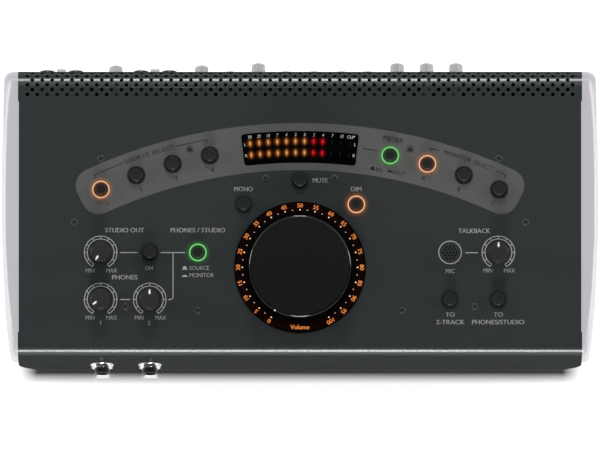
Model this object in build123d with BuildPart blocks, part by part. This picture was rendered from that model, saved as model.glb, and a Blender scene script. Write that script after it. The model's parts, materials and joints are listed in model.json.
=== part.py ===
from build123d import *
import os
from math import atan2, cos, degrees, radians, sin, tan

# Studio monitor controller: a wedge-shaped desktop box with two plastic cheeks.
# +X is to the user's right, +Y to the connector side, +Z up. Millimetres.

os.makedirs("parts", exist_ok=True)

# Case
panel_width = 343.6
case_depth = 171.7
front_height = 47.7
slope = 10.0
front_bend = 8.0
rear_bend = 9.6
cover_sheet = 1.2
tray_sheet = 1.2
fit_gap = 0.1
foot_height = 2.5
foot_radius = 7.0
foot_side_inset = 22.0
foot_end_inset = 20.0
cover_lip_height = 65.7
cover_corner = 14.0
tray_corner = 6.0
tray_lip = 8.0

# Cheeks: width beside the metal, from the front face to the rear face
cheek_stations = (0.0, 0.25, 0.61, 1.0)
cheek_foot_widths = (3.9, 8.8, 11.1, 9.3)
cheek_top_widths = (0.9, 5.1, 7.2, 5.3)
cheek_loft_height = 83.7
cheek_front_toe = 14.0
cheek_rear_toe = 5.0
cheek_screw_back = 8.5
cheek_screw_height = 16.0
cheek_recess_radius = 3.3
cheek_recess_floor = 3.0

# Vent rows, the first a little before the rear bend
vent_radius = 1.15
vent_pitch = 6.04
vent_columns = 56
vent_rows = 6
vent_before_bend = 4.7
vent_row_pitch = 3.0

# Volume control, whose centre is the centre of the panel's layout
volume_up_panel = 52.7
scale_ring_radius = 40.1
scale_ring_bore = 9.0
scale_ring_thickness = 2.0
volume_knob_radius = 31.6
volume_knob_height = 22.0
volume_knob_gap = 1.0
volume_knob_draft = 0.8
volume_knob_edge = 1.4
volume_knob_wall = 2.6
volume_hub_radius = 8.0
volume_pot_width = 17.0
volume_bushing_radius = 4.5
volume_bushing_reach = 5.0

# Curved band of buttons: one circle whose centre lies in front of the case
band_crest = 73.5
band_button_radius = 296.5
band_button_angles = (10.68, 15.17, 19.66, 24.14)

# Buttons
cap_radius = 4.1
cap_reach = 3.5
cap_skirt = 3.0
cap_edge = 0.4
cap_travel = 2.5
plunger_radius = 1.4
plunger_gap = 0.1
ring_inner_radius = 4.4
ring_outer_radius = 5.5
ring_reach = 0.3
switch_width = 12.0
switch_height = 4.0
switch_floor = 0.3

# Level switches at the rear
level_cap_width = 5.5
level_cap_height = 4.6
level_cap_reach = 2.4
level_travel = 2.0
level_skirt = 1.0
level_stem_length = 6.0
level_gap = 0.25
level_body_width = 7.0
level_height = 62.7

# Small turning controls
shaft_radius = 3.0
shaft_gap = 0.05
shaft_seat = 1.0
bushing_radius = 3.6
bushing_gap = 0.1
bushing_reach = 0.8
small_knob_radius = 6.5
small_knob_top_radius = 5.7
small_knob_height = 11.0
small_knob_gap = 0.4
small_knob_edge = 0.6
pot_width = 10.0
pot_height = 6.5
trim_knob_radius = 4.1
trim_knob_dome = 2.0
trim_knob_reach = 8.0
trim_knob_gap = 0.6
trim_pot_depth = 8.0

# Meter
meter_height = 19.3
meter_inner_inset = 9.6
meter_half_angle = 6.75
meter_corner = 2.0
window_gap = 0.15
window_reach = 0.3
housing_margin = 2.0
housing_top_gap = 0.1
led_pitch = 1.057
led_row_inset = 6.2
led_columns = 12
led_length = 3.4
led_width = 1.2
led_gap = 0.3
led_below_window = 0.6
amber_columns = range(0, 7)
red_columns = range(7, 9)
dark_columns = range(9, led_columns)

# Talkback microphone
microphone_pitch = 2.1
microphone_hole_radius = 0.6
microphone_radius = 4.85
microphone_height = 6.0
boot_radius = 7.0

# Boards and screws
board_thickness = 1.6
board_depth = 10.0
board_half_width = 158.0
board_front = -40.0
board_rear_gap = 0.3
screw_radius = 1.3
screw_hole_radius = 1.7
screw_head_radius = 2.3
screw_head_height = 1.1
screw_drive_radius = 1.0
screw_drive_depth = 0.7
screw_end_gap = 0.8
band_screws = ((28.73, -10.5), (22.72, 17.4), (12.82, 5.9), (4.33, -18.3))
standoff_radius = 2.8
standoff_end_gap = 0.1

# Quarter-inch jacks
jack_bore_radius = 3.25
jack_bushing_radius = 4.5
jack_bushing_gap = 0.1
jack_body_width = 15.4
jack_body_height = 11.0
connector_depth = 26.0
jack_end_wall = 2.0
rear_jack_reach = 3.2
rear_nut_radius = 6.2
rear_nut_thickness = 2.6
rear_nut_notch = 1.8
phones_jack_reach = 5.9
phones_jack_height = 17.2
phones_nut_flats = 11.0
phones_nut_thickness = 2.0
phones_washer_radius = 7.0
phones_washer_thickness = 0.6

# Phono, computer and power sockets
phono_radius = 4.15
phono_bore_radius = 1.75
phono_bore_depth = 9.0
phono_reach = 8.0
phono_body = 11.0
usb_width = 12.0
usb_height = 11.0
usb_wall = 1.3
usb_opening_depth = 9.0
usb_tongue_width = 5.6
usb_tongue_height = 1.6
inlet_width = 14.0
inlet_face_radius = 5.0
inlet_bore_radius = 3.2
inlet_pin_radius = 1.0
inlet_pin_back = 1.5
inlet_depth = 9.5
socket_gap = 0.15

# Rear layout across the case and up from the desk
upper_row = 53.7
middle_row = 50.2
lower_row = 24.0
socket_row = 32.0
upper_jacks = (-154.1, -136.8, -97.1, -79.8)
middle_jacks = (-42.6, -8.7, 8.5, 25.3, 41.4)
lower_jacks = (-8.7, 8.5, 25.3, 41.4)
phono_places = (-154.1, -136.8, -97.1, -79.8, -60.1, -42.6)
level_switches = {"left": -145.5, "right": -88.4}
trims = {
    "1": (-112.5, 50.8),
    "2": (-60.1, 50.8),
    "3": (-25.4, 57.0),
    "4": (59.3, 57.0),
    "5": (77.3, 57.0),
    "6": (95.2, 57.0),
}
usb_place = 112.0
inlet_place = 146.0

# Front layout
phones_jacks = (-120.8, -91.6)

# Sizes worked out from the ones above
half_width = panel_width / 2
front_y = -(case_depth + trim_knob_reach - phones_jack_reach) / 2
rear_y = front_y + case_depth
rise = tan(radians(slope))
rear_wall_y = rear_y - cover_sheet - fit_gap
connector_front_y = rear_wall_y - tray_sheet
front_wall_y = front_y + cover_sheet
board_top = -board_depth
board_bottom = board_top - board_thickness
ring_hole_radius = ring_outer_radius + bushing_gap
volume_knob_base = scale_ring_thickness + volume_knob_gap
switch_top = board_top + switch_height
plunger_length = -board_top - cap_skirt - switch_floor - plunger_gap - cap_travel
rear_board_y = connector_front_y - connector_depth
level_body_front_y = connector_front_y - level_skirt - level_travel - plunger_gap
band_centre = band_crest - band_button_radius
meter_inner_radius = band_button_radius - meter_inner_inset
meter_outer_radius = meter_inner_radius + meter_height
led_rows = (meter_outer_radius - led_row_inset, meter_inner_radius + led_row_inset)

panel = Plane(
    origin=(
        0,
        front_y + volume_up_panel * cos(radians(slope)),
        front_height + volume_up_panel * sin(radians(slope)),
    ),
    x_dir=(1, 0, 0),
    z_dir=(0, -sin(radians(slope)), cos(radians(slope))),
)
panel_axis = Axis(panel.origin, panel.z_dir)

# Where the rear bend starts, and how far up the panel that is
bend_y = rear_y - rear_bend
bend_start = (bend_y - rear_bend * panel.y_dir.Z - panel.origin.Y) / panel.y_dir.Y

# The main board ends just before the connector board
board_rear_y = rear_board_y - board_thickness - board_rear_gap
board_rear = (board_rear_y - panel.origin.Y + board_bottom * panel.y_dir.Z) / panel.y_dir.Y


def band_point(radius, angle):
    """Point of the panel on a circle about the band's centre, angle to the right."""
    turn = radians(angle)
    return (radius * sin(turn), band_centre + radius * cos(turn))


# Places on the panel
outer_button, third_button, second_button, inner_button = (
    band_button_angles[3],
    band_button_angles[2],
    band_button_angles[1],
    band_button_angles[0],
)
button_places = {
    "source_1": band_point(band_button_radius, -outer_button),
    "source_2": band_point(band_button_radius, -third_button),
    "source_3": band_point(band_button_radius, -second_button),
    "source_4": band_point(band_button_radius, -inner_button),
    "meter": band_point(band_button_radius, inner_button),
    "monitor_a": band_point(band_button_radius, second_button),
    "monitor_b": band_point(band_button_radius, third_button),
    "monitor_c": band_point(band_button_radius, outer_button),
    "mute": (0.0, 53.0),
    "mono": (-34.3, 38.5),
    "dim": (34.3, 38.5),
    "studio_on": (-91.5, 9.2),
    "phones_source": (-62.2, 9.2),
    "talk_to_record": (91.3, -19.5),
    "talk_to_phones": (120.6, -19.5),
}
amber_rings = ("source_1", "monitor_a", "dim")
green_rings = ("meter", "phones_source")
plain_rings = tuple(name for name in button_places if name not in amber_rings + green_rings)
knob_places = {
    "studio_out": (-121.4, 9.2),
    "phones_1": (-121.4, -19.5),
    "phones_2": (-91.5, -19.5),
    "talkback": (120.8, 9.2),
}
microphone_place = (91.4, 9.2)
screw_places = [
    (side * across, up)
    for side in (-1, 1)
    for across, up in (
        *[band_point(band_button_radius + outside, angle) for angle, outside in band_screws],
        (106.4, -23.6),
        (62.2, -26.0),
    )
]


def save(piece, label):
    """Name a finished piece and write it."""
    piece.part.label = label
    export_step(piece.part, f"parts/{label}.step")


def slope_height(y):
    """Height of the panel's plane above the desk."""
    return front_height + (y - front_y) * rise


def case_corners(inset, bottom):
    """Corners of the case's side outline, moved in by inset, from the front's foot."""
    near = front_y + inset
    far = rear_y - inset
    drop = inset / cos(radians(slope))
    return [
        (near, bottom),
        (near, slope_height(near) - drop),
        (far, slope_height(far) - drop),
        (far, bottom),
    ]


def case_side(inset, bottom, toes=(0, 0), mode=Mode.ADD):
    """Draw the case's side outline in the current sketch. Toes round its foot."""
    front_toe, rear_toe = toes
    radii = [front_toe, front_bend - inset, rear_bend - inset, rear_toe]
    with BuildLine() as outline:
        FilletPolyline(*case_corners(inset, bottom), radius=radii, close=True)
    make_face(outline.line, mode=mode)


def band_sector(inner, outer, half_angle, corner=0.0, mode=Mode.ADD):
    """Draw a piece of ring about the band's centre in the current sketch."""
    with BuildLine() as outline:
        start = 90 - half_angle
        low = CenterArc((0, band_centre), inner, start, 2 * half_angle)
        high = CenterArc((0, band_centre), outer, start, 2 * half_angle)
        Line(low @ 0, high @ 0)
        Line(low @ 1, high @ 1)
    sector = make_face(outline.line, mode=Mode.PRIVATE).face()
    if corner:
        sector = sector.fillet_2d(corner, sector.vertices())
    add(sector, mode=mode)


def facing_rear(y):
    """Upright sketch plane at y, whose normal points at the user."""
    return Plane.XZ.offset(-y)


# Cover: one folded sheet over the front, the panel and the rear bend
def vent_row_plane(up):
    """Plane touching the cover's outside at a distance up the panel, round the rear bend."""
    bend_z = slope_height(bend_y) - rear_bend / cos(radians(slope))
    if up <= bend_start:
        return Plane(origin=panel.from_local_coords((0, up, 0)), x_dir=(1, 0, 0), z_dir=panel.z_dir)
    turn = (up - bend_start) / rear_bend - radians(slope)
    normal = (0, sin(turn), cos(turn))
    place = (0, bend_y + rear_bend * sin(turn), bend_z + rear_bend * cos(turn))
    return Plane(origin=place, x_dir=(1, 0, 0), z_dir=normal)


def microphone_holes():
    """Centres of the microphone's nineteen holes, in rows of 3, 4, 5, 4 and 3."""
    centres = []
    for row, count in zip((-2, -1, 0, 1, 2), (3, 4, 5, 4, 3)):
        for column in range(count):
            across = (column - (count - 1) / 2) * microphone_pitch
            up = row * microphone_pitch * sin(radians(60))
            centres.append((microphone_place[0] + across, microphone_place[1] + up))
    return centres


with BuildPart() as top_cover:
    with BuildSketch(Plane.YZ):
        case_side(0, foot_height)
        case_side(cover_sheet, foot_height - cover_sheet, mode=Mode.SUBTRACT)
        with Locations((rear_y, foot_height)):
            Rectangle(
                4 * cover_sheet,
                cover_lip_height - foot_height,
                align=(Align.CENTER, Align.MIN),
                mode=Mode.SUBTRACT,
            )
    extrude(amount=half_width, both=True)
    front_corners = top_cover.edges().filter_by(Axis.Y).filter_by(
        lambda edge: edge.center().Y < front_wall_y and edge.center().Z < foot_height + fit_gap
    )
    fillet(front_corners, cover_corner)
    with BuildSketch(panel):
        with Locations(*button_places.values()):
            Circle(ring_hole_radius)
        with Locations(*knob_places.values()):
            Circle(bushing_radius + bushing_gap)
        Circle(volume_bushing_radius + bushing_gap)
        with Locations(*microphone_holes()):
            Circle(microphone_hole_radius)
        with Locations(*screw_places):
            Circle(screw_hole_radius)
        band_sector(meter_inner_radius, meter_outer_radius, meter_half_angle, meter_corner)
    extrude(amount=-2 * cover_sheet, mode=Mode.SUBTRACT)
    with BuildSketch(facing_rear(front_y)):
        with Locations(*[(x, phones_jack_height) for x in phones_jacks]):
            Circle(jack_bushing_radius + jack_bushing_gap)
    extrude(amount=-2 * cover_sheet, mode=Mode.SUBTRACT)
    for row in range(vent_rows):
        with BuildSketch(vent_row_plane(bend_start - vent_before_bend + row * vent_row_pitch)):
            with GridLocations(vent_pitch, 1, vent_columns - row % 2, 1):
                Circle(vent_radius)
        extrude(amount=-2 * cover_sheet, mode=Mode.SUBTRACT)
save(top_cover, "top_cover")

# Tray: floor, connector wall, side walls and a low front lip
foot_places = [
    (side * (half_width - foot_side_inset), y)
    for side in (-1, 1)
    for y in (front_y + foot_end_inset, rear_y - foot_end_inset)
]
tray_inset = cover_sheet + fit_gap
quarter_inch_places = (
    [(x, upper_row) for x in upper_jacks]
    + [(x, middle_row) for x in middle_jacks]
    + [(x, lower_row) for x in lower_jacks]
)
cheek_screw_y = rear_y - cheek_screw_back

with BuildPart() as base_tray:
    with BuildSketch(Plane.YZ):
        case_side(tray_inset, foot_height)
    extrude(amount=half_width, both=True)
    fillet(
        base_tray.edges().filter_by(Axis.Z).group_by(Axis.Y)[0],
        tray_corner,
    )
    with BuildSketch(Plane.XY.offset(foot_height + tray_sheet)):
        with Locations((0, (front_y + tray_inset + rear_wall_y) / 2)):
            RectangleRounded(
                panel_width - 2 * tray_sheet,
                rear_wall_y - front_y - tray_inset - 2 * tray_sheet,
                tray_corner - tray_sheet,
            )
        with Locations((0, connector_front_y - tray_corner)):
            Rectangle(
                panel_width - 2 * tray_sheet,
                tray_corner,
                align=(Align.CENTER, Align.MIN),
            )
    extrude(amount=cheek_loft_height, mode=Mode.SUBTRACT)
    with BuildSketch(Plane.XY.offset(foot_height + tray_lip)):
        with Locations((0, front_y)):
            Rectangle(panel_width - 2 * tray_corner, 4 * tray_sheet + cover_sheet)
    extrude(amount=front_height, mode=Mode.SUBTRACT)
    with BuildSketch(facing_rear(rear_wall_y)):
        with Locations(*quarter_inch_places):
            Circle(jack_bushing_radius + jack_bushing_gap)
        with Locations(*[(x, lower_row) for x in phono_places]):
            Circle(phono_radius + jack_bushing_gap)
        with Locations(*trims.values()):
            Circle(shaft_radius + level_gap)
        with Locations(*[(x, level_height) for x in level_switches.values()]):
            Rectangle(level_cap_width + 2 * level_gap, level_cap_height + 2 * level_gap)
        with Locations((usb_place, socket_row)):
            Rectangle(usb_width + 2 * socket_gap, usb_height + 2 * socket_gap)
        with Locations((inlet_place, socket_row)):
            Circle(inlet_face_radius + socket_gap)
    extrude(amount=2 * tray_sheet, both=True, mode=Mode.SUBTRACT)
    with BuildSketch(Plane.XY.offset(foot_height)):
        with Locations(*foot_places):
            Circle(screw_hole_radius)
    extrude(amount=2 * tray_sheet, mode=Mode.SUBTRACT)
    with BuildSketch(Plane.YZ):
        with Locations((cheek_screw_y, cheek_screw_height)):
            Circle(screw_hole_radius)
    extrude(amount=panel_width, both=True, mode=Mode.SUBTRACT)
save(base_tray, "base_tray")


# Cheeks
def cheek_outline(widths):
    """Plan outline of the right cheek, flat against the metal."""
    outside = [
        (half_width + width, front_y + station * case_depth)
        for station, width in zip(cheek_stations, widths)
    ]
    with BuildLine() as outline:
        curve = Spline(*outside)
        Polyline(curve @ 0, (half_width, front_y), (half_width, rear_y), curve @ 1)
    make_face(outline.line)


with BuildPart() as right_cheek:
    with BuildSketch(Plane.XY.offset(foot_height)):
        cheek_outline(cheek_foot_widths)
    with BuildSketch(Plane.XY.offset(cheek_loft_height)):
        cheek_outline(cheek_top_widths)
    loft()
    with BuildSketch(Plane.YZ.offset(half_width)):
        case_side(0, foot_height, toes=(cheek_front_toe, cheek_rear_toe))
    extrude(amount=2 * max(cheek_foot_widths), mode=Mode.INTERSECT)
    with BuildSketch(Plane.YZ.offset(half_width + cheek_recess_floor)):
        with Locations((cheek_screw_y, cheek_screw_height)):
            Circle(cheek_recess_radius)
    extrude(amount=2 * max(cheek_foot_widths), mode=Mode.SUBTRACT)
    with BuildSketch(Plane.YZ.offset(half_width)):
        with Locations((cheek_screw_y, cheek_screw_height)):
            Circle(screw_hole_radius)
    extrude(amount=cheek_recess_floor, mode=Mode.SUBTRACT)
save(right_cheek, "right_cheek")

with BuildPart() as left_cheek:
    mirror(right_cheek.part, about=Plane.YZ)
save(left_cheek, "left_cheek")

# Feet, each with a recess for its screw
foot_recess_floor = foot_height - screw_head_height - fit_gap
with BuildPart() as rubber_feet:
    with BuildSketch(Plane.XY):
        with Locations(*foot_places):
            Circle(foot_radius)
    extrude(amount=foot_height)
    with BuildSketch(Plane.XY):
        with Locations(*foot_places):
            Circle(screw_head_radius + fit_gap)
    extrude(amount=foot_height - foot_recess_floor, mode=Mode.SUBTRACT)
    with BuildSketch(Plane.XY):
        with Locations(*foot_places):
            Circle(screw_hole_radius)
    extrude(amount=foot_height, mode=Mode.SUBTRACT)
save(rubber_feet, "rubber_feet")

# Case screws: one through each cheek and one through each foot
case_screw_length = 5.0
with BuildPart() as case_screws:
    for side in (-1, 1):
        seat = Plane(
            origin=(side * (half_width + cheek_recess_floor), cheek_screw_y, cheek_screw_height),
            z_dir=(side, 0, 0),
        )
        with BuildSketch(seat):
            Circle(screw_head_radius)
        extrude(amount=screw_head_height)
        with BuildSketch(seat):
            Circle(screw_radius)
        extrude(amount=-(cheek_recess_floor + case_screw_length))
    with BuildSketch(Plane.XY.offset(foot_height - foot_recess_floor)):
        with Locations(*foot_places):
            Circle(screw_head_radius)
    extrude(amount=-screw_head_height)
    with BuildSketch(Plane.XY.offset(foot_height - foot_recess_floor)):
        with Locations(*foot_places):
            Circle(screw_radius)
    extrude(amount=foot_recess_floor + case_screw_length)
save(case_screws, "case_screws")

# Main board, hung under the panel on standoffs
with BuildPart() as main_board:
    with BuildSketch(panel.offset(board_bottom)):
        with Locations((0, (board_front + board_rear) / 2)):
            Rectangle(2 * board_half_width, board_rear - board_front)
    extrude(amount=board_thickness)
save(main_board, "main_board")

with BuildPart() as board_standoffs:
    with BuildSketch(panel.offset(board_top)):
        with Locations(*screw_places):
            Circle(standoff_radius)
            Circle(screw_radius + fit_gap, mode=Mode.SUBTRACT)
    extrude(amount=board_depth - cover_sheet - standoff_end_gap)
save(board_standoffs, "board_standoffs")

with BuildPart() as panel_screws:
    with BuildSketch(panel):
        with Locations(*screw_places):
            Circle(screw_head_radius)
    extrude(amount=screw_head_height)
    fillet(panel_screws.faces().group_by(panel_axis)[-1].edges(), screw_head_height / 2)
    with BuildSketch(panel):
        with Locations(*screw_places):
            Circle(screw_radius)
    extrude(amount=-(board_depth - screw_end_gap))
    with BuildSketch(panel.offset(screw_head_height)):
        with Locations(*screw_places):
            RegularPolygon(screw_drive_radius, 6)
    extrude(amount=-screw_drive_depth, mode=Mode.SUBTRACT)
save(panel_screws, "panel_screws")

# Switches under the buttons and behind the two level caps
with BuildPart() as switch_bodies:
    with BuildSketch(panel.offset(board_top)):
        with Locations(*button_places.values()):
            Rectangle(switch_width, switch_width)
    extrude(amount=switch_height)
    with BuildSketch(panel.offset(switch_top)):
        with Locations(*button_places.values()):
            Circle(plunger_radius + plunger_gap)
    extrude(amount=switch_floor - switch_height, mode=Mode.SUBTRACT)
    with BuildSketch(facing_rear(rear_board_y)):
        with Locations(*[(x, level_height) for x in level_switches.values()]):
            Rectangle(level_body_width, level_body_width)
    extrude(amount=rear_board_y - level_body_front_y)
    with BuildSketch(facing_rear(level_body_front_y)):
        with Locations(*[(x, level_height) for x in level_switches.values()]):
            Circle(plunger_radius + plunger_gap)
    extrude(amount=level_stem_length + level_travel, mode=Mode.SUBTRACT)
save(switch_bodies, "switch_bodies")


# Light rings: clear sleeves from the switch up to just above the panel
def make_light_rings(names, label):
    """Write the sleeves of the named buttons as one node."""
    with BuildPart() as light_rings:
        with BuildSketch(panel.offset(switch_top)):
            with Locations(*[button_places[name] for name in names]):
                Circle(ring_outer_radius)
                Circle(ring_inner_radius, mode=Mode.SUBTRACT)
        extrude(amount=ring_reach - switch_top)
    save(light_rings, label)


make_light_rings(amber_rings, "light_rings_amber")
make_light_rings(green_rings, "light_rings_green")
make_light_rings(plain_rings, "light_rings_unlit")


# Button caps, each moulded with its plunger
def make_button(name, place):
    """Write the cap of one button, standing out of its light ring."""
    with BuildPart() as button:
        with BuildSketch(panel.offset(-cap_skirt)):
            with Locations(place):
                Circle(cap_radius)
        extrude(amount=cap_skirt + cap_reach)
        fillet(button.faces().sort_by(panel_axis)[-1].edges(), cap_edge)
        with BuildSketch(panel.offset(-cap_skirt)):
            with Locations(place):
                Circle(plunger_radius)
        extrude(amount=-plunger_length)
    save(button, f"button_{name}")


for name, place in button_places.items():
    make_button(name, place)


# Level switch caps at the rear
def make_level_cap(name, x):
    """Write one oblong push cap with its stem."""
    skirt_y = connector_front_y - level_skirt
    with BuildPart() as level_cap:
        with BuildSketch(facing_rear(skirt_y)):
            with Locations((x, level_height)):
                Rectangle(level_cap_width, level_cap_height)
        extrude(amount=skirt_y - rear_y - level_cap_reach)
        fillet(level_cap.faces().sort_by(Axis.Y)[-1].edges(), cap_edge)
        with BuildSketch(facing_rear(skirt_y)):
            with Locations((x, level_height)):
                Circle(plunger_radius)
        extrude(amount=level_stem_length)
    save(level_cap, f"level_cap_{name}")


for name, x in level_switches.items():
    make_level_cap(name, x)

# Volume control
with BuildPart() as volume_scale_ring:
    with BuildSketch(panel):
        Circle(scale_ring_radius)
        Circle(scale_ring_bore, mode=Mode.SUBTRACT)
    extrude(amount=scale_ring_thickness)
save(volume_scale_ring, "volume_scale_ring")

shaft_bottom = board_top + shaft_seat
volume_shaft_top = volume_knob_base + volume_knob_height - 2 * volume_knob_wall
with BuildPart() as volume_pot_body:
    with BuildSketch(panel.offset(board_top)):
        Rectangle(volume_pot_width, volume_pot_width)
    extrude(amount=board_depth - cover_sheet - standoff_end_gap)
    with BuildSketch(panel.offset(-cover_sheet - standoff_end_gap)):
        Circle(volume_bushing_radius)
    extrude(amount=cover_sheet + standoff_end_gap + volume_bushing_reach)
    with BuildSketch(panel.offset(shaft_bottom - shaft_gap)):
        Circle(shaft_radius + shaft_gap)
    extrude(amount=board_depth + volume_bushing_reach, mode=Mode.SUBTRACT)
save(volume_pot_body, "volume_pot_body")

with BuildPart() as volume_shaft:
    with BuildSketch(panel.offset(shaft_bottom)):
        Circle(shaft_radius)
    extrude(amount=volume_shaft_top - shaft_bottom)
save(volume_shaft, "volume_shaft")

knob_side = Plane(origin=panel.origin, x_dir=(1, 0, 0), z_dir=-panel.y_dir)
hub_bottom = volume_bushing_reach + volume_knob_gap
knob_top = volume_knob_base + volume_knob_height
with BuildPart() as volume_knob:
    with BuildSketch(knob_side):
        with BuildLine():
            rim = volume_knob_radius - volume_knob_draft
            shell_radius = volume_knob_radius - volume_knob_wall
            Polyline(
                (0, volume_shaft_top),
                (shaft_radius, volume_shaft_top),
                (shaft_radius, hub_bottom),
                (volume_hub_radius, hub_bottom),
                (volume_hub_radius, knob_top - volume_knob_wall),
                (shell_radius - volume_knob_draft, knob_top - volume_knob_wall),
                (shell_radius, volume_knob_base),
                (volume_knob_radius, volume_knob_base),
                (rim, knob_top),
                (0, knob_top),
                close=True,
            )
        make_face()
    revolve(axis=panel_axis)
    top_rim = volume_knob.faces().sort_by(panel_axis)[-1].edges()
    fillet(top_rim, volume_knob_edge)
save(volume_knob, "volume_knob")

# Small turning controls and their potentiometers
with BuildPart() as pot_bodies:
    with BuildSketch(panel.offset(board_top)):
        with Locations(*knob_places.values()):
            Rectangle(pot_width, pot_width)
    extrude(amount=pot_height)
    with BuildSketch(panel.offset(board_top + pot_height)):
        with Locations(*knob_places.values()):
            Circle(bushing_radius)
    extrude(amount=bushing_reach - board_top - pot_height)
    with BuildSketch(panel.offset(shaft_bottom - shaft_gap)):
        with Locations(*knob_places.values()):
            Circle(shaft_radius + shaft_gap)
    extrude(amount=board_depth + bushing_reach, mode=Mode.SUBTRACT)
    with BuildSketch(facing_rear(rear_board_y)):
        with Locations(*trims.values()):
            Rectangle(pot_width, pot_width)
    extrude(amount=-trim_pot_depth)
    with BuildSketch(facing_rear(rear_board_y + shaft_seat - shaft_gap)):
        with Locations(*trims.values()):
            Circle(shaft_radius + shaft_gap)
    extrude(amount=-trim_pot_depth, mode=Mode.SUBTRACT)
save(pot_bodies, "pot_bodies")


def make_small_knob(name, place):
    """Write one small panel knob, moulded with its shaft."""
    base = bushing_reach + small_knob_gap
    draft = degrees(atan2(small_knob_radius - small_knob_top_radius, small_knob_height))
    with BuildPart() as small_knob:
        with BuildSketch(panel.offset(base)):
            with Locations(place):
                Circle(small_knob_radius)
        extrude(amount=small_knob_height, taper=draft)
        fillet(small_knob.faces().sort_by(panel_axis)[-1].edges(), small_knob_edge)
        with BuildSketch(panel.offset(shaft_bottom)):
            with Locations(place):
                Circle(shaft_radius)
        extrude(amount=base - shaft_bottom)
    save(small_knob, f"knob_{name}")


for name, place in knob_places.items():
    make_small_knob(name, place)


def make_trim_knob(name, place):
    """Write one domed level control at the rear, moulded with its shaft."""
    knob_front_y = rear_y + trim_knob_gap
    with BuildPart() as trim_knob:
        with BuildSketch(facing_rear(knob_front_y)):
            with Locations(place):
                Circle(trim_knob_radius)
        extrude(amount=trim_knob_gap - trim_knob_reach)
        fillet(trim_knob.faces().sort_by(Axis.Y)[-1].edges(), trim_knob_dome)
        with BuildSketch(facing_rear(rear_board_y + shaft_seat)):
            with Locations(place):
                Circle(shaft_radius)
        extrude(amount=rear_board_y + shaft_seat - knob_front_y)
    save(trim_knob, f"trim_knob_{name}")


for name, place in trims.items():
    make_trim_knob(name, place)

# Meter: window, light box and bar lights standing on the board
window_bottom = -cover_sheet - housing_top_gap
led_place = {
    (row, column): band_point(radius, (column - (led_columns - 1) / 2) * led_pitch)
    for row, radius in enumerate(led_rows)
    for column in range(led_columns)
}

with BuildPart() as meter_window:
    with BuildSketch(panel.offset(window_bottom)):
        window_trim = degrees(window_gap / meter_inner_radius)
        band_sector(
            meter_inner_radius + window_gap,
            meter_outer_radius - window_gap,
            meter_half_angle - window_trim,
            meter_corner - window_gap,
        )
    extrude(amount=window_reach - window_bottom)
save(meter_window, "meter_window")


def led_outlines(columns, grow=0.0, mode=Mode.ADD):
    """Draw the bar lights of some columns, both rows, each turned to the band."""
    for row, _ in enumerate(led_rows):
        for column in columns:
            turn = -(column - (led_columns - 1) / 2) * led_pitch
            with Locations(Location(led_place[row, column], turn)):
                Rectangle(led_width + 2 * grow, led_length + 2 * grow, mode=mode)


with BuildPart() as meter_housing:
    with BuildSketch(panel.offset(board_top)):
        housing_turn = degrees(housing_margin / meter_inner_radius)
        band_sector(
            meter_inner_radius - housing_margin,
            meter_outer_radius + housing_margin,
            meter_half_angle + housing_turn,
        )
        led_outlines(range(led_columns), led_gap, Mode.SUBTRACT)
    extrude(amount=window_bottom - board_top)
save(meter_housing, "meter_housing")


def make_meter_leds(columns, label):
    """Write the bar lights of some columns as one node."""
    with BuildPart() as meter_leds:
        with BuildSketch(panel.offset(board_top)):
            led_outlines(columns)
        extrude(amount=window_bottom - led_below_window - board_top)
    save(meter_leds, label)


make_meter_leds(amber_columns, "meter_leds_amber")
make_meter_leds(red_columns, "meter_leds_red")
make_meter_leds(dark_columns, "meter_leds_unlit")

# Talkback microphone in its rubber boot
with BuildPart() as microphone_boot:
    with BuildSketch(panel.offset(board_top)):
        with Locations(microphone_place):
            Circle(boot_radius)
            Circle(microphone_radius, mode=Mode.SUBTRACT)
    extrude(amount=board_depth - cover_sheet - standoff_end_gap)
save(microphone_boot, "microphone_boot")

with BuildPart() as talkback_microphone:
    with BuildSketch(panel.offset(board_top)):
        with Locations(microphone_place):
            Circle(microphone_radius)
    extrude(amount=microphone_height)
save(talkback_microphone, "talkback_microphone")

# Connector board, upright behind the connectors
rear_board_half_width = 162.0
rear_board_bottom = 9.0
rear_board_top = 67.7
with BuildPart() as connector_board:
    with BuildSketch(facing_rear(rear_board_y)):
        with Locations((0, (rear_board_bottom + rear_board_top) / 2)):
            Rectangle(2 * rear_board_half_width, rear_board_top - rear_board_bottom)
    extrude(amount=board_thickness)
save(connector_board, "connector_board")

# Quarter-inch jacks: box, round bushing through the sheet, blind bore
jack_length = connector_depth - jack_end_wall
with BuildPart() as rear_jacks:
    with BuildSketch(facing_rear(connector_front_y)):
        with Locations(*quarter_inch_places):
            Rectangle(jack_body_width, jack_body_height)
    extrude(amount=connector_depth)
    with BuildSketch(facing_rear(connector_front_y)):
        with Locations(*quarter_inch_places):
            Circle(jack_bushing_radius)
    extrude(amount=connector_front_y - rear_y - rear_jack_reach)
    with BuildSketch(facing_rear(rear_y + rear_jack_reach)):
        with Locations(*quarter_inch_places):
            Circle(jack_bore_radius)
    extrude(amount=rear_y + rear_jack_reach - connector_front_y + jack_length, mode=Mode.SUBTRACT)
save(rear_jacks, "rear_jacks")

with BuildPart() as rear_jack_nuts:
    with BuildSketch(facing_rear(rear_wall_y)):
        with Locations(*quarter_inch_places):
            Circle(rear_nut_radius)
            Circle(jack_bushing_radius, mode=Mode.SUBTRACT)
            with PolarLocations(rear_nut_radius, 4, start_angle=45):
                Circle(rear_nut_notch / 2, mode=Mode.SUBTRACT)
    extrude(amount=-rear_nut_thickness)
save(rear_jack_nuts, "rear_jack_nuts")

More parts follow.
